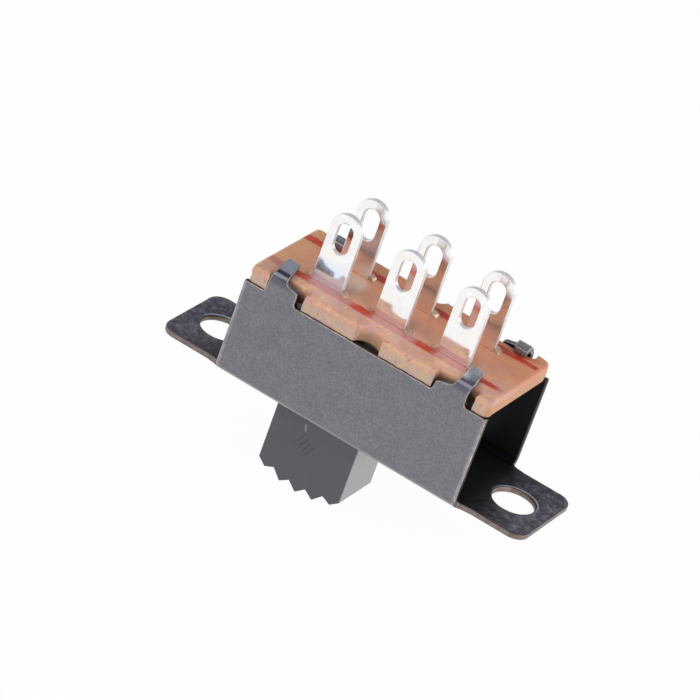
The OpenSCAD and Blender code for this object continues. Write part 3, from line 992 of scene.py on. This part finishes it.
@dataclass
class Bracket:
    """The folded steel bracket: face plate with two ears, two walls and four crimp tabs."""

    sheet: float = 0.5
    channel_l: float = 23.1
    bend_r: float = 0.9
    bend_steps: int = 8
    wall_h: float = 8.6
    ear_corner: Rounding = (1.3, 8)
    ear_root_l: float = 1.2
    ear_root_rows: int = 4
    hole_inset: float = 2.7
    hole_r: float = 1.8
    hole_sides: int = 48
    hole_roll: Rounding = (0.22, 4)
    slot_l: float = 13.2
    slot_w: float = 5.6
    slot_corner: Rounding = (0.4, 5)
    tab_fold_r: float = 0.65
    tab_fold: float = 83.0
    tab_fold_start: float = 1.48
    tab_fold_step: float = 0.13
    tab_fold_rows: int = 7
    tab_tip: Rounding = (0.22, 4)
    tab_row_gap: float = 0.055
    far_tab_l: float = 3.7
    edge: float = 0.08
    edge_angle: float = 40.0
    # Each tab's outline: way along the strip from the wall's top, inner and outer edge
    left_tab: tuple[Triple, ...] = (
        (0.0, 6.66, 9.82), (0.06, 6.76, 9.7), (0.14, 6.82, 9.63), (0.25, 6.85, 9.6),
        (0.85, 6.84, 9.58), (1.08, 6.88, 9.58), (1.2, 6.98, 9.57), (1.27, 7.16, 9.57),
        (1.34, 7.55, 9.56), (1.44, 7.88, 9.54), (1.6, 8.04, 9.5), (1.9, 8.1, 9.44),
        (2.3, 8.14, 9.42), (4.4, 8.48, 9.67),
    )
    right_tab: tuple[Triple, ...] = (
        (0.0, 6.2, 9.62), (0.06, 6.3, 9.5), (0.14, 6.37, 9.43), (0.25, 6.41, 9.4),
        (0.76, 6.48, 9.4), (0.9, 6.58, 9.4), (1.0, 6.85, 9.4), (1.14, 7.6, 9.4),
        (1.28, 7.88, 9.41), (1.5, 8.02, 9.44), (1.9, 8.12, 9.48), (2.3, 8.17, 9.5),
        (4.35, 8.02, 9.08),
    )

    def __post_init__(self) -> None:
        """Takes the outer sizes from the CAD node."""
        low, high = node_box("bracket")
        self.span = high.x - low.x
        self.wall_y = high.y
        self.tab_top = high.z
        self.ear_w = 2 * (self.wall_y - self.bend_r)
        self.half = self.channel_l / 2

    def build(self, palette: Palette) -> None:
        """Models the bracket as an outer surface, then gives it the sheet's thickness."""
        piece = Workpiece("folded_bracket", (palette.steel, palette.steel_edge, palette.steel_rim))
        self.face(piece)
        for side in (1, -1):
            self.wall(piece, side)
            for end in (1, -1):
                self.root(piece, side, end)
                self.tab(piece, side, end)
        piece.merge()
        piece.sheet_metal(self.sheet, rim=2)
        self.roll_holes(piece)
        piece.round_edges(self.edge, self.edge_angle, material=1, clamp=False)
        piece.finish(Body.HOUSING, ["bracket"], "bracket_steel")

    def face(self, piece: Workpiece) -> None:
        """The flat plate: ears, root fillets, mounting holes and the knob's slot."""
        piece.rounded(ORIGIN, (self.span, self.ear_w, 0), *self.ear_corner)
        piece.all()
        piece.open_face()
        for x in (-self.half - self.ear_root_l, -self.half, self.half, self.half + self.ear_root_l):
            piece.all()
            piece.bisect(X_AXIS, x)
        for end in (1, -1):
            piece.ring((end * (self.half + self.hole_inset), 0, 0), self.hole_r, self.hole_sides)
        piece.rounded(ORIGIN, (self.slot_l, self.slot_w, 0), *self.slot_corner)
        piece.pick_faces()
        piece.open_face()
        piece.all()
        piece.fill()
        piece.merge()

    def wall(self, piece: Workpiece, side: int) -> None:
        """One long wall: its bend is spun from the plate's side, then drawn up."""
        flat = side * self.ear_w / 2
        piece.pick_edges(lambda c: near(c.y, flat) and abs(c.x) < self.half - CLEAR and near(c.z, 0))
        piece.spin(side * 90, (0, flat, self.bend_r), X_AXIS, self.bend_steps)
        piece.extrude((0, 0, self.wall_h - self.bend_r))

    def root(self, piece: Workpiece, side: int, end: int) -> None:
        """The web in the corner between an ear and a wall, drawn up row by row along the bend."""
        flat = self.ear_w / 2
        tip = self.half + self.ear_root_l
        piece.pick_edges(lambda c: near(c.y, side * flat) and self.half < end * c.x < tip)
        rise = math.radians(90 / self.bend_steps)
        across, up, reach = 0.0, 0.0, self.ear_root_l
        for row in range(1, self.ear_root_rows + 1):
            there = self.bend_r * math.sin(row * rise)
            height = self.bend_r * (1 - math.cos(row * rise))
            piece.extrude((0, side * (there - across), height - up))
            share = 1 - there / (self.bend_r * math.sin(self.ear_root_rows * rise))
            wide = max(self.ear_root_l * (1 - math.sqrt(1 - share**2)), HAIR)
            piece.resize((wide / reach, 1, 1), (end * self.half, side * (flat + there), height))
            across, up, reach = there, height, wide

    def roll_holes(self, piece: Workpiece) -> None:
        """Rounds the upper edge of each mounting hole, where the punch went in."""
        piece.open()
        for end in (1, -1):
            middle = Vector((end * (self.half + self.hole_inset), 0, self.sheet))
            piece.pick_edges(lambda c: near(c.z, self.sheet) and abs((c - middle).length - self.hole_r) < 2 * CLOSE)
            piece.bevel(*self.hole_roll)

    def along_tab(self, way: float) -> Pair:
        """Gives the depth from the wall and the height at a way along a tab's strip."""
        straight = self.tab_top - self.tab_fold_r - self.wall_h
        fold = math.radians(self.tab_fold)
        turned = min(max(way - straight, 0.0) / self.tab_fold_r, fold)
        flap = max(way - straight - self.tab_fold_r * fold, 0.0)
        inwards = self.tab_fold_r * (1 - math.cos(turned)) + flap * math.sin(fold)
        up = min(way, straight) + self.tab_fold_r * math.sin(turned) + flap * math.cos(fold)
        return self.wall_y - inwards, self.wall_h + up

    def tab_ways(self, rows: Sequence[Triple]) -> list[float]:
        """Lists how far along a tab's strip its rows stand, with more of them round the fold."""
        folds = {self.tab_fold_start + self.tab_fold_step * i for i in range(self.tab_fold_rows)}
        ways = [0.0]
        for way in sorted({row[0] for row in rows} | folds):
            if way - ways[-1] >= self.tab_row_gap:
                ways.append(way)
        return ways[1:]

    def tab(self, piece: Workpiece, side: int, end: int) -> None:
        """One crimp tab, drawn up row by row: root, shoulder, neck, fold and flap."""
        rows = self.left_tab if side * end > 0 else self.right_tab
        if side > 0:
            rows = (*rows[:-1], (self.far_tab_l, *rows[-1][1:]))
        wall = side * self.wall_y
        _, inner, outer = rows[0]
        for x in (inner, outer):
            piece.pick_faces(lambda c: near(c.y, wall) and c.z > self.bend_r + CLEAR)
            piece.bisect(X_AXIS, end * x)
        piece.pick_edges(lambda c: near(c.y, wall) and near(c.z, self.wall_h) and inner < end * c.x < outer)
        middle, width, y, z = end * (inner + outer) / 2, outer - inner, wall, self.wall_h
        for way in self.tab_ways(rows):
            inner, outer = (self.between(rows, way, column) for column in (1, 2))
            depth, height = self.along_tab(way)
            there = end * (inner + outer) / 2
            piece.extrude((there - middle, side * depth - y, height - z))
            middle, y, z = there, side * depth, height
            piece.resize(((outer - inner) / width, 1, 1), (middle, y, z))
            width = outer - inner
        piece.pick_verts(lambda c: near(c.y, y) and near(c.z, z) and end * c.x > 0)
        piece.bevel(*self.tab_tip, corners=True)

    @staticmethod
    def between(rows: Sequence[Triple], way: float, column: int) -> float:
        """Reads an edge's distance from the middle, between two rows of an outline."""
        for low, high in zip(rows, rows[1:]):
            if way <= high[0]:
                return low[column] + (way - low[0]) / (high[0] - low[0]) * (high[column] - low[column])
        return rows[-1][column]


@dataclass
class TerminalBoard:
    """The punched laminate board, with its notches, scallops, shank slots and torn edges."""

    # Corner radii, by the corner's side along and across the board
    corners: tuple[Triple, ...] = ((-1, -1, 0.5), (-1, 1, 0.5), (1, -1, 0.55), (1, 1, 1.0))
    corner_steps: int = 6
    notch_x: float = 8.1
    notch_l: float = 3.8
    notch_short: float = 0.36
    notch_depth: float = 1.0
    notch_corner: Rounding = (0.35, 4)
    scallop_r: float = 1.25
    scallop_sides: int = 40
    pitch: float = 6.05
    row: float = 2.15
    slot_l: float = 4.06
    slot_w: float = 0.56
    step: float = 0.16
    most_cuts: int = 200
    tear_room: float = 0.03
    torn_w: float = 0.15
    # Swing and size of the noise that tears the outline, and of that which parts the layers
    torn: Pair = (0.10, 0.45)
    parted: Pair = (0.09, 0.3)
    layer_count: int = 5
    # Each rim's steps inwards and up that round its edge
    top_rim: Pairs = ((0.02, 0.11), (0.05, 0.1), (0.08, 0.07), (0.1, 0.04), (0.1, 0.015), (0.08, 0.0))
    low_rim: Pairs = ((0.03, 0.05), (0.05, 0.03))
    smooth: float = 22.0

    def __post_init__(self) -> None:
        """Takes the outer sizes from the CAD node, with room left for the tearing."""
        low, high = node_box("terminal_board")
        spare = Vector((self.tear_room, self.tear_room, 0.0))
        self.low, self.high = low + spare, high - spare
        self.torn_y, self.parted_y = (corner.y - self.notch_depth - self.torn_w for corner in (self.high, high))

    def build(self, palette: Palette) -> None:
        """Models the punched outline, tears it, raises the board on it and rounds its rims."""
        piece = Workpiece("punched_board", (palette.laminate,))
        start = self.low.z + sum(rise for _, rise in self.low_rim)
        end = self.high.z - sum(rise for _, rise in self.top_rim)
        self.outline(piece)
        self.tear(piece)
        piece.all()
        piece.move((0, 0, start - self.low.z))
        piece.fill()
        piece.all()
        piece.extrude((0, 0, end - start))
        piece.merge(HAIR)
        for normal, level, rim in ((Z_AXIS, end, self.top_rim), (DOWN, start, self.low_rim)):
            piece.pick_facing(normal, lambda c: near(c.z, level))
            for inwards, rise in rim:
                bpy.ops.mesh.inset(thickness=inwards, depth=rise, use_even_offset=False)
        self.layers(piece, start, end)
        piece.carve(self.slots())
        piece.finish(Body.HOUSING, ["terminal_board"], "laminate", self.smooth)

    def outline(self, piece: Workpiece) -> None:
        """Punches a blank and keeps only the wire round its underside."""
        low, high = self.low, self.high
        piece.plane((0, 0, low.z), (high.x - low.x, high.y - low.y, 0))
        for along, across, radius in self.corners:
            corner = Vector((along * high.x, across * high.y, low.z))
            piece.pick_verts(lambda c: (c - corner).length < CLOSE)
            piece.bevel(radius, self.corner_steps, corners=True)
        piece.all()
        piece.extrude((0, 0, high.z - low.z))
        piece.merge()
        piece.carve(self.punch())
        piece.open()
        piece.pick_verts(lambda c: c.z > low.z + CLOSE)
        bpy.ops.mesh.delete(type="VERT")
        piece.pick_open()
        bpy.ops.mesh.select_all(action="INVERT")
        bpy.ops.mesh.delete(type="EDGE")
        piece.all()
        piece.open_face()

    def punch(self) -> Workpiece:
        """The punch that cuts the notches and the scallops."""
        tool = Workpiece("punch")
        bottom, top = self.low.z - 1, self.high.z + 1
        for side in (1, -1):
            for end in (1, -1):
                short = self.notch_short if side + end == -2 else 0.0
                x, y = end * (self.notch_x - short / 2), side * self.high.y
                tool.rounded((x, y, bottom), (self.notch_l - short, 2 * self.notch_depth, 0), *self.notch_corner)
            y = side * (self.high.y - self.notch_depth + self.scallop_r)
            tool.ring((0, y, bottom), self.scallop_r, self.scallop_sides)
            tool.cap()
        tool.all()
        tool.extrude((0, 0, top - bottom))
        tool.merge()
        return tool

    def slots(self) -> Workpiece:
        """The punch that cuts the six slots the shanks pass through."""
        tool = Workpiece("slot_punch")
        half_l, half_w = self.slot_l / 2, self.slot_w / 2
        for side in (1, -1):
            for column in (-1, 0, 1):
                x, y = column * self.pitch, side * self.row
                tool.block((x - half_l, y - half_w, self.low.z - 1), (x + half_l, y + half_w, self.high.z + 1))
        return tool

    def tear(self, piece: Workpiece) -> None:
        """Divides the outline finely, and pushes the long edges in and out where they were torn."""
        for cuts in range(self.most_cuts, 0, -1):
            if piece.pick_long((cuts + 0.5) * self.step, (cuts + 1.5) * self.step):
                bpy.ops.mesh.subdivide(number_cuts=cuts)
        piece.pick_verts(lambda c: abs(c.y) > self.torn_y)
        piece.roughen("sides", *self.torn)
        piece.open()

    def layers(self, piece: Workpiece, start: float, end: float) -> None:
        """Divides the side into layers and pushes each a little in or out."""
        for layer in range(1, self.layer_count):
            piece.pick_faces(lambda c: start + CLOSE < c.z < end - CLOSE)
            piece.bisect(Z_AXIS, start + layer / self.layer_count * (end - start))
        piece.pick_verts(lambda c: start + CLOSE < c.z < end - CLOSE and abs(c.y) > self.parted_y)
        piece.roughen("layers", *self.parted)


@dataclass
class Terminals:
    """The six tinned terminals: lug with its wire slot, shank, locking ears and contact pad."""

    strip: float = 0.5
    lug_w: float = 2.9
    lug_steps: int = 14
    slot_w: float = 1.45
    slot_l: float = 2.8
    slot_steps: int = 10
    rim: float = 0.8
    shank_w: float = 4.0
    lock_h: float = 0.35
    lock_sunk: float = 0.1
    lock_reach: float = 0.3
    # How far a locking ear's corners are struck in and down, at the thrown and at the kept face
    lock_thrown: Pair = (0.12, 0.26)
    lock_kept: Pair = (0.2, 0.1)
    pad_reach: float = 1.9
    pad_l: float = 4.8
    pad_bend: Rounding = (0.55, 5)
    edge: float = 0.06
    edge_angle: float = 40.0

    def build(self, palette: Palette) -> None:
        """Models one terminal and sets six copies, the rows mirrored."""
        self.board_z = node_box("terminal_board")[1].z
        low, high = node_box("terminal_b2")
        self.tip_z, self.pad_z = high.z, low.z
        self.outer_y = high.y
        self.inner_y = high.y - self.pad_reach - self.strip
        pattern = Workpiece("terminal_pattern", (palette.tin, palette.burr, palette.tin_rim))
        self.pattern(pattern)
        for row in Row:
            for column in (1, 2, 3):
                name = f"{row.name.lower()}{column}"
                low, high = node_box(f"terminal_{name}")
                lug = pattern.copy(f"lug_{name}")
                lug.open()
                lug.all()
                if row is Row.A:
                    lug.resize((1, row.value, 1))
                    bpy.ops.mesh.normals_make_consistent(inside=False)
                lug.move(((low.x + high.x) / 2, 0, 0))
                lug.finish(Body.HOUSING, [f"terminal_{name}"], "tinned_brass")
        bpy.data.objects.remove(pattern.obj)

    def pattern(self, piece: Workpiece) -> None:
        """Models the terminal of the +Y row, in the middle column."""
        half, y = self.lug_w / 2, self.inner_y
        piece.plane((0, y, (self.pad_z + self.board_z) / 2), (self.shank_w, 0, self.board_z - self.pad_z))
        for x in (-half, half):
            piece.all()
            piece.bisect(X_AXIS, x)
        piece.pick_edges(lambda c: near(c.z, self.board_z) and abs(c.x) < half - CLEAR)
        piece.extrude((0, 0, self.tip_z - self.board_z))
        piece.pick_verts(lambda c: near(c.z, self.tip_z))
        piece.bevel(half - HAIR, self.lug_steps, corners=True)
        piece.merge()
        middle = (0, y, self.tip_z - self.rim - self.slot_l / 2)
        piece.rounded(middle, (self.slot_w, 0, self.slot_l), self.slot_w / 2 - HAIR, self.slot_steps)
        piece.merge()
        piece.pick_faces(lambda c: c.z > self.board_z + CLEAR)
        piece.open_face()
        piece.pick_edges(lambda c: c.z > self.board_z - CLOSE and abs(c.x) < half + CLOSE)
        piece.fill()
        self.pad(piece)
        piece.merge()
        piece.look((0.0, -1.0, 0.0))
        piece.sheet_metal(self.strip, rim=2)
        piece.open()
        for side in (-1, 1):
            self.lock(piece, side)
        piece.merge(HAIR)
        piece.round_edges(self.edge, self.edge_angle)

    def pad(self, piece: Workpiece) -> None:
        """The contact pad, drawn out under the board and bent round."""
        piece.pick_edges(lambda c: near(c.z, self.pad_z))
        piece.extrude((0, self.outer_y - self.inner_y, 0))
        piece.pick_verts(lambda c: c.y > self.outer_y - CLOSE)
        piece.resize((self.pad_l / self.shank_w, 1, 1), (0, self.outer_y, self.pad_z))
        piece.pick_edges(lambda c: near(c.z, self.pad_z) and near(c.y, self.inner_y))
        piece.bevel(*self.pad_bend)

    def lock(self, piece: Workpiece, side: int) -> None:
        """One locking ear: a wedge struck outwards on the right and inwards on the left."""
        inner, outer = sorted((side * self.lug_w / 2, side * self.shank_w / 2))
        front, back = self.inner_y, self.inner_y + self.strip
        thrown, kept = (back + self.lock_reach, front) if side > 0 else (front - self.lock_reach, back)
        top = self.board_z + self.lock_h
        low_z = self.board_z - self.lock_sunk
        piece.block((inner, min(kept, thrown), low_z), (outer, max(kept, thrown), top))
        bpy.ops.mesh.select_mode(type="FACE")
        piece.obj.active_material_index = 1
        bpy.ops.object.material_slot_assign()
        tip = side * self.shank_w / 2
        for y, (inwards, down) in ((thrown, self.lock_thrown), (kept, self.lock_kept)):
            piece.pick_verts(lambda c: near(c.z, top) and near(c.y, y) and near(c.x, tip))
            piece.move((-side * inwards, 0, -down))


@dataclass
class Slider:
    """The moulding: the carrier with its two pockets, and the knob with its grip teeth."""

    carrier_l: float = 15.0
    carrier_w: float = 9.6
    carrier_bottom: float = 0.6
    chamfer: float = 0.4
    corner: Rounding = (0.5, 4)
    pocket_l: float = 9.24
    pocket_w: float = 2.14
    pocket_y: float = 3.35
    pocket_depth: float = 3.9
    knob_l: float = 7.9
    knob_w: float = 5.3
    teeth: int = 5
    pitch: float = 1.6
    depth: float = 0.65
    crown_r: float = 8.6
    edge: float = 0.07
    edge_angle: float = 30.0

    def crown(self, x: float) -> float:
        """How far the crown has risen at a distance from the knob's middle."""
        return self.crown_r - math.sqrt(self.crown_r**2 - x * x)

    def build(self, palette: Palette) -> None:
        """Models the carrier, sinks its pockets, draws out the knob and cuts its teeth."""
        low, high = node_box("slider")
        piece = Workpiece("slide_moulding", (palette.moulding,))
        self.carrier(piece, high.z)
        self.knob(piece, low.z)
        piece.all()
        piece.move(((low.x + high.x) / 2, 0, 0))
        piece.merge()
        piece.round_edges(self.edge, self.edge_angle)
        piece.finish(Body.SLIDER, ["slider"], "moulding")

    def carrier(self, piece: Workpiece, top: float) -> None:
        """The block inside the channel."""
        half_l, half_w = self.carrier_l / 2, self.carrier_w / 2
        piece.block((-half_l, -half_w, self.carrier_bottom), (half_l, half_w, top))
        piece.pick_edges(lambda c: near(abs(c.x), half_l) and near(abs(c.y), half_w))
        piece.bevel(*self.corner)
        piece.pick_edges(lambda c: near(c.z, self.carrier_bottom) and near(abs(c.y), half_w))
        piece.bevel(self.chamfer, 1)
        half_l, half_w = self.pocket_l / 2, self.pocket_w / 2
        sides = (-self.pocket_y, self.pocket_y)
        self.score(piece, Z_AXIS, (-half_l, half_l), [y + edge for y in sides for edge in (-half_w, half_w)])
        for y in sides:
            piece.pick_facing(Z_AXIS, lambda c: abs(c.x) < half_l and abs(c.y - y) < half_w and c.z > top - CLOSE)
            piece.extrude((0, 0, -self.pocket_depth))

    @staticmethod
    def score(piece: Workpiece, normal: Triple, xs: Sequence[float], ys: Sequence[float]) -> None:
        """Cuts the faces that look one way along lines across and along them."""
        for axis, at in [(X_AXIS, x) for x in xs] + [(Y_AXIS, y) for y in ys]:
            piece.pick_facing(normal)
            piece.bisect(axis, at)

    def knob(self, piece: Workpiece, bottom: float) -> None:
        """The knob, drawn down from the carrier's underside, with crowned teeth."""
        half_l, half_w = self.knob_l / 2, self.knob_w / 2
        self.score(piece, DOWN, (-half_l, half_l), (-half_w, half_w))
        piece.pick_facing(DOWN, lambda c: abs(c.x) < half_l and abs(c.y) < half_w)
        piece.extrude((0, 0, bottom - self.carrier_bottom))
        first = -(self.teeth - 1) / 2 * self.pitch
        tips = [first + i * self.pitch for i in range(self.teeth)]
        grooves = [x + self.pitch / 2 for x in tips[:-1]]
        for x in tips + grooves:
            piece.pick_facing(DOWN, lambda c: c.z < bottom + CLOSE)
            piece.bisect(X_AXIS, x)
        slope = 2 * self.depth / self.pitch
        rises = {x: self.crown(x) for x in tips} | {x: self.crown(x) + self.depth for x in grooves}
        rises |= {x: self.crown(first) + (half_l - abs(first)) * slope for x in (-half_l, half_l)}
        for x, rise in rises.items():
            piece.pick_verts(lambda c: near(c.x, x) and near(c.z, bottom))
            piece.move((0, 0, rise))


@dataclass
class Contacts:
    """The two bridging contacts: a strip with two domes and turned-down ends, over a coil spring."""

    strip: float = 0.3
    length: float = 9.0
    width: float = 1.9
    bend_r: float = 0.45
    bend_steps: int = 5
    dome_pitch: float = 5.8
    dome_r: float = 0.88
    dome_h: float = 0.45
    dome_sides: int = 20
    # Each ring of a dome: its share of the rise, and its size beside the ring below
    dome_steps: Pairs = ((0.3, 0.93), (0.27, 0.87), (0.22, 0.78), (0.14, 0.64), (0.07, 0.4))
    edge: float = 0.04
    edge_angle: float = 35.0
    wire: float = 0.32
    wire_sides: int = 8
    turns: int = 6
    turn_steps: int = 18
    wire_smooth: float = 60.0

    def build(self, palette: Palette) -> None:
        """Models a contact and a spring for each row."""
        for name in ("a", "b"):
            self.bridge(name, palette.bronze)
            self.spring(name, palette.wire)

    def bridge(self, name: str, material: Material) -> None:
        """One bridging contact."""
        low, high = node_box(f"contact_{name}")
        x, y, top = (low.x + high.x) / 2, (low.y + high.y) / 2, high.z - self.dome_h
        domes = [(x + end * self.dome_pitch / 2, y, top) for end in (-1, 1)]
        piece = Workpiece(f"bridge_{name}", (material,))
        piece.plane((x, y, top), (self.length - 2 * self.bend_r, self.width, 0))
        piece.all()
        piece.open_face()
        for dome in domes:
            piece.ring(dome, self.dome_r, self.dome_sides)
        piece.all()
        piece.fill()
        for dome in domes:
            piece.ring(dome, self.dome_r, self.dome_sides)
            piece.cap()
        piece.merge()
        piece.look(Z_AXIS)
        for dome in domes:
            piece.pick_faces(lambda c: (c - Vector(dome)).length < CLEAR)
            for rise, shrink in self.dome_steps:
                piece.extrude((0, 0, rise * self.dome_h))
                piece.resize((shrink, shrink, 1), dome)
        for end in (-1, 1):
            edge_x = x + end * (self.length / 2 - self.bend_r)
            piece.pick_edges(lambda c: near(c.x, edge_x) and near(c.z, top))
            piece.spin(end * 90, (edge_x, y, top - self.bend_r), Y_AXIS, self.bend_steps)
            piece.extrude((0, 0, low.z - (top - self.bend_r)))
        piece.merge()
        piece.look(Z_AXIS)
        piece.sheet_metal(self.strip)
        piece.round_edges(self.edge, self.edge_angle)
        piece.finish(Body.SLIDER, [f"contact_{name}"], "contact_bronze")

    def spring(self, name: str, material: Material) -> None:
        """One coil spring, screwed up from a ring of the wire's section."""
        low, high = node_box(f"contact_spring_{name}")
        coil = (high.x - low.x - self.wire) / 2
        climb = high.z - low.z - self.wire
        piece = Workpiece(f"spring_{name}", (material,))
        piece.ring((coil, 0, low.z + self.wire / 2), self.wire / 2, self.wire_sides, Y_AXIS)
        steps = {"steps": self.turn_steps, "render_steps": self.turn_steps, "iterations": self.turns}
        piece.modify("SCREW", angle=math.tau, axis="Z", screw_offset=climb / self.turns, **steps)
        piece.open()
        piece.pick_open()
        piece.cap()
        piece.all()
        piece.move(((low.x + high.x) / 2, (low.y + high.y) / 2, 0))
        piece.merge()
        piece.finish(Body.SLIDER, [f"contact_spring_{name}"], "spring_wire", self.wire_smooth)


# --- The studio -------------------------------------------


@dataclass
class Studio:
    """The pale floor, the soft light and the camera, in metres."""

    camera_place: Triple = (0.125572, -0.337191, 0.200112)
    camera_turn: Triple = (60.04314, -17.58947, 30.77968)
    lens: float = 264.267
    sensor: float = 36.0
    clip: Pair = (0.01, 20.0)
    # Each lamp: name, place, size and power
    lamps: tuple[tuple[str, Triple, float, float], ...] = (
        ("key", (-0.28, -0.34, 0.52), 0.6, 2.5),
        ("fill", (0.52, -0.1, 0.34), 0.4, 1.5),
        ("kicker", (0.5, 0.5, 0.1), 0.3, 1.4),
    )
    floor_size: float = 6.0
    floor_colour: Colour = (0.93, 0.93, 0.93)
    floor_rough: float = 0.9
    floor_glow: float = 0.965
    ceiling: float = 0.22
    ceiling_height: Pair = (0.12, 0.42)
    ceiling_tint: Colour = (0.82, 0.86, 1.0)

    def build(self, lowest: float) -> None:
        """Sets up the camera, the world, the lamps and the floor."""
        self.camera()
        self.world()
        for lamp in self.lamps:
            self.lamp(*lamp)
        self.floor(lowest)

    def camera(self) -> None:
        """The camera, set by its place and its turn."""
        camera = put("camera", bpy.data.cameras.new("camera"))
        camera.data.lens, camera.data.sensor_width = self.lens, self.sensor
        camera.data.clip_start, camera.data.clip_end = self.clip
        camera.location = self.camera_place
        camera.rotation_euler = tuple(math.radians(a) for a in self.camera_turn)
        bpy.context.scene.camera = camera

    def world(self) -> None:
        """A room with pale walls and a darker ceiling; the camera sees it white."""
        world = bpy.data.worlds.new("room")
        world.use_nodes = True
        graph = Graph(world.node_tree)
        z = graph.axes(graph.add("ShaderNodeTexCoord").outputs["Generated"])[2]
        seen = graph.add("ShaderNodeLightPath").outputs["Is Camera Ray"]
        level = z.ramp(*self.ceiling_height, 1.0, self.ceiling).sum("MAXIMUM", seen)
        tint = graph.mix(level.ramp(self.ceiling, 1.0), self.ceiling_tint, WHITE)
        graph.feed(world.node_tree.nodes["Background"], {"Strength": level, "Color": tint})
        bpy.context.scene.world = world

    def lamp(self, name: str, place: Triple, size: float, power: float) -> None:
        """A soft square lamp that looks at the switch."""
        lamp = put(name, bpy.data.lights.new(name, "AREA"))
        lamp.data.size, lamp.data.energy = size, power
        lamp.location = place
        lamp.rotation_euler = (-Vector(place)).to_track_quat("-Z", "Y").to_euler()

    def floor(self, lowest: float) -> None:
        """The floor under the knob. It is clear from below, and it keeps the switch's shadow."""
        bpy.ops.object.select_all(action="DESELECT")
        bpy.ops.mesh.primitive_plane_add(size=self.floor_size, location=(0, 0, lowest))
        floor = bpy.context.object
        floor.name = "floor"
        bpy.ops.object.transform_apply(location=True)
        material = bpy.data.materials.new("floor_white")
        material.use_nodes = True
        nodes = material.node_tree.nodes
        shader = nodes["Principled BSDF"]
        graph = Graph(material.node_tree)
        graph.feed(shader, {"Base Color": self.floor_colour, "Roughness": self.floor_rough, "Specular IOR Level": 0.0})
        glow = graph.add("ShaderNodeEmission", {0: WHITE, 1: 1.0})
        rays = graph.add("ShaderNodeLightPath").outputs
        seen = graph.sum("MAXIMUM", rays["Is Camera Ray"], rays["Is Glossy Ray"])
        share = seen.sum("MAXIMUM", rays["Is Transmission Ray"]) * self.floor_glow
        lit = graph.add("ShaderNodeMixShader", {0: share, 1: shader.outputs[0], 2: glow.outputs[0]})
        clear = graph.add("ShaderNodeBsdfTransparent")
        below = graph.add("ShaderNodeNewGeometry").outputs["Backfacing"]
        both = graph.add("ShaderNodeMixShader", {0: below, 1: lit.outputs[0], 2: clear.outputs[0]})
        graph.feed(nodes["Material Output"], {0: both.outputs[0]})
        floor.data.materials.append(material)


def main() -> None:
    """Builds every sub-assembly in order, then the studio."""
    logging.basicConfig(level=logging.INFO, format="%(name)s: %(message)s")
    scene = bpy.context.scene
    scene.view_settings.view_transform = "Standard"
    palette = Palette(board_face_z=node_box("terminal_board")[1].z)
    for assembly in (Bracket(), TerminalBoard(), Terminals(), Slider(), Contacts()):
        assembly.build(palette)
    Studio().build(CAD_BOX[0].z)
    bpy.context.view_layer.update()


if __name__ == "__main__":
    main()
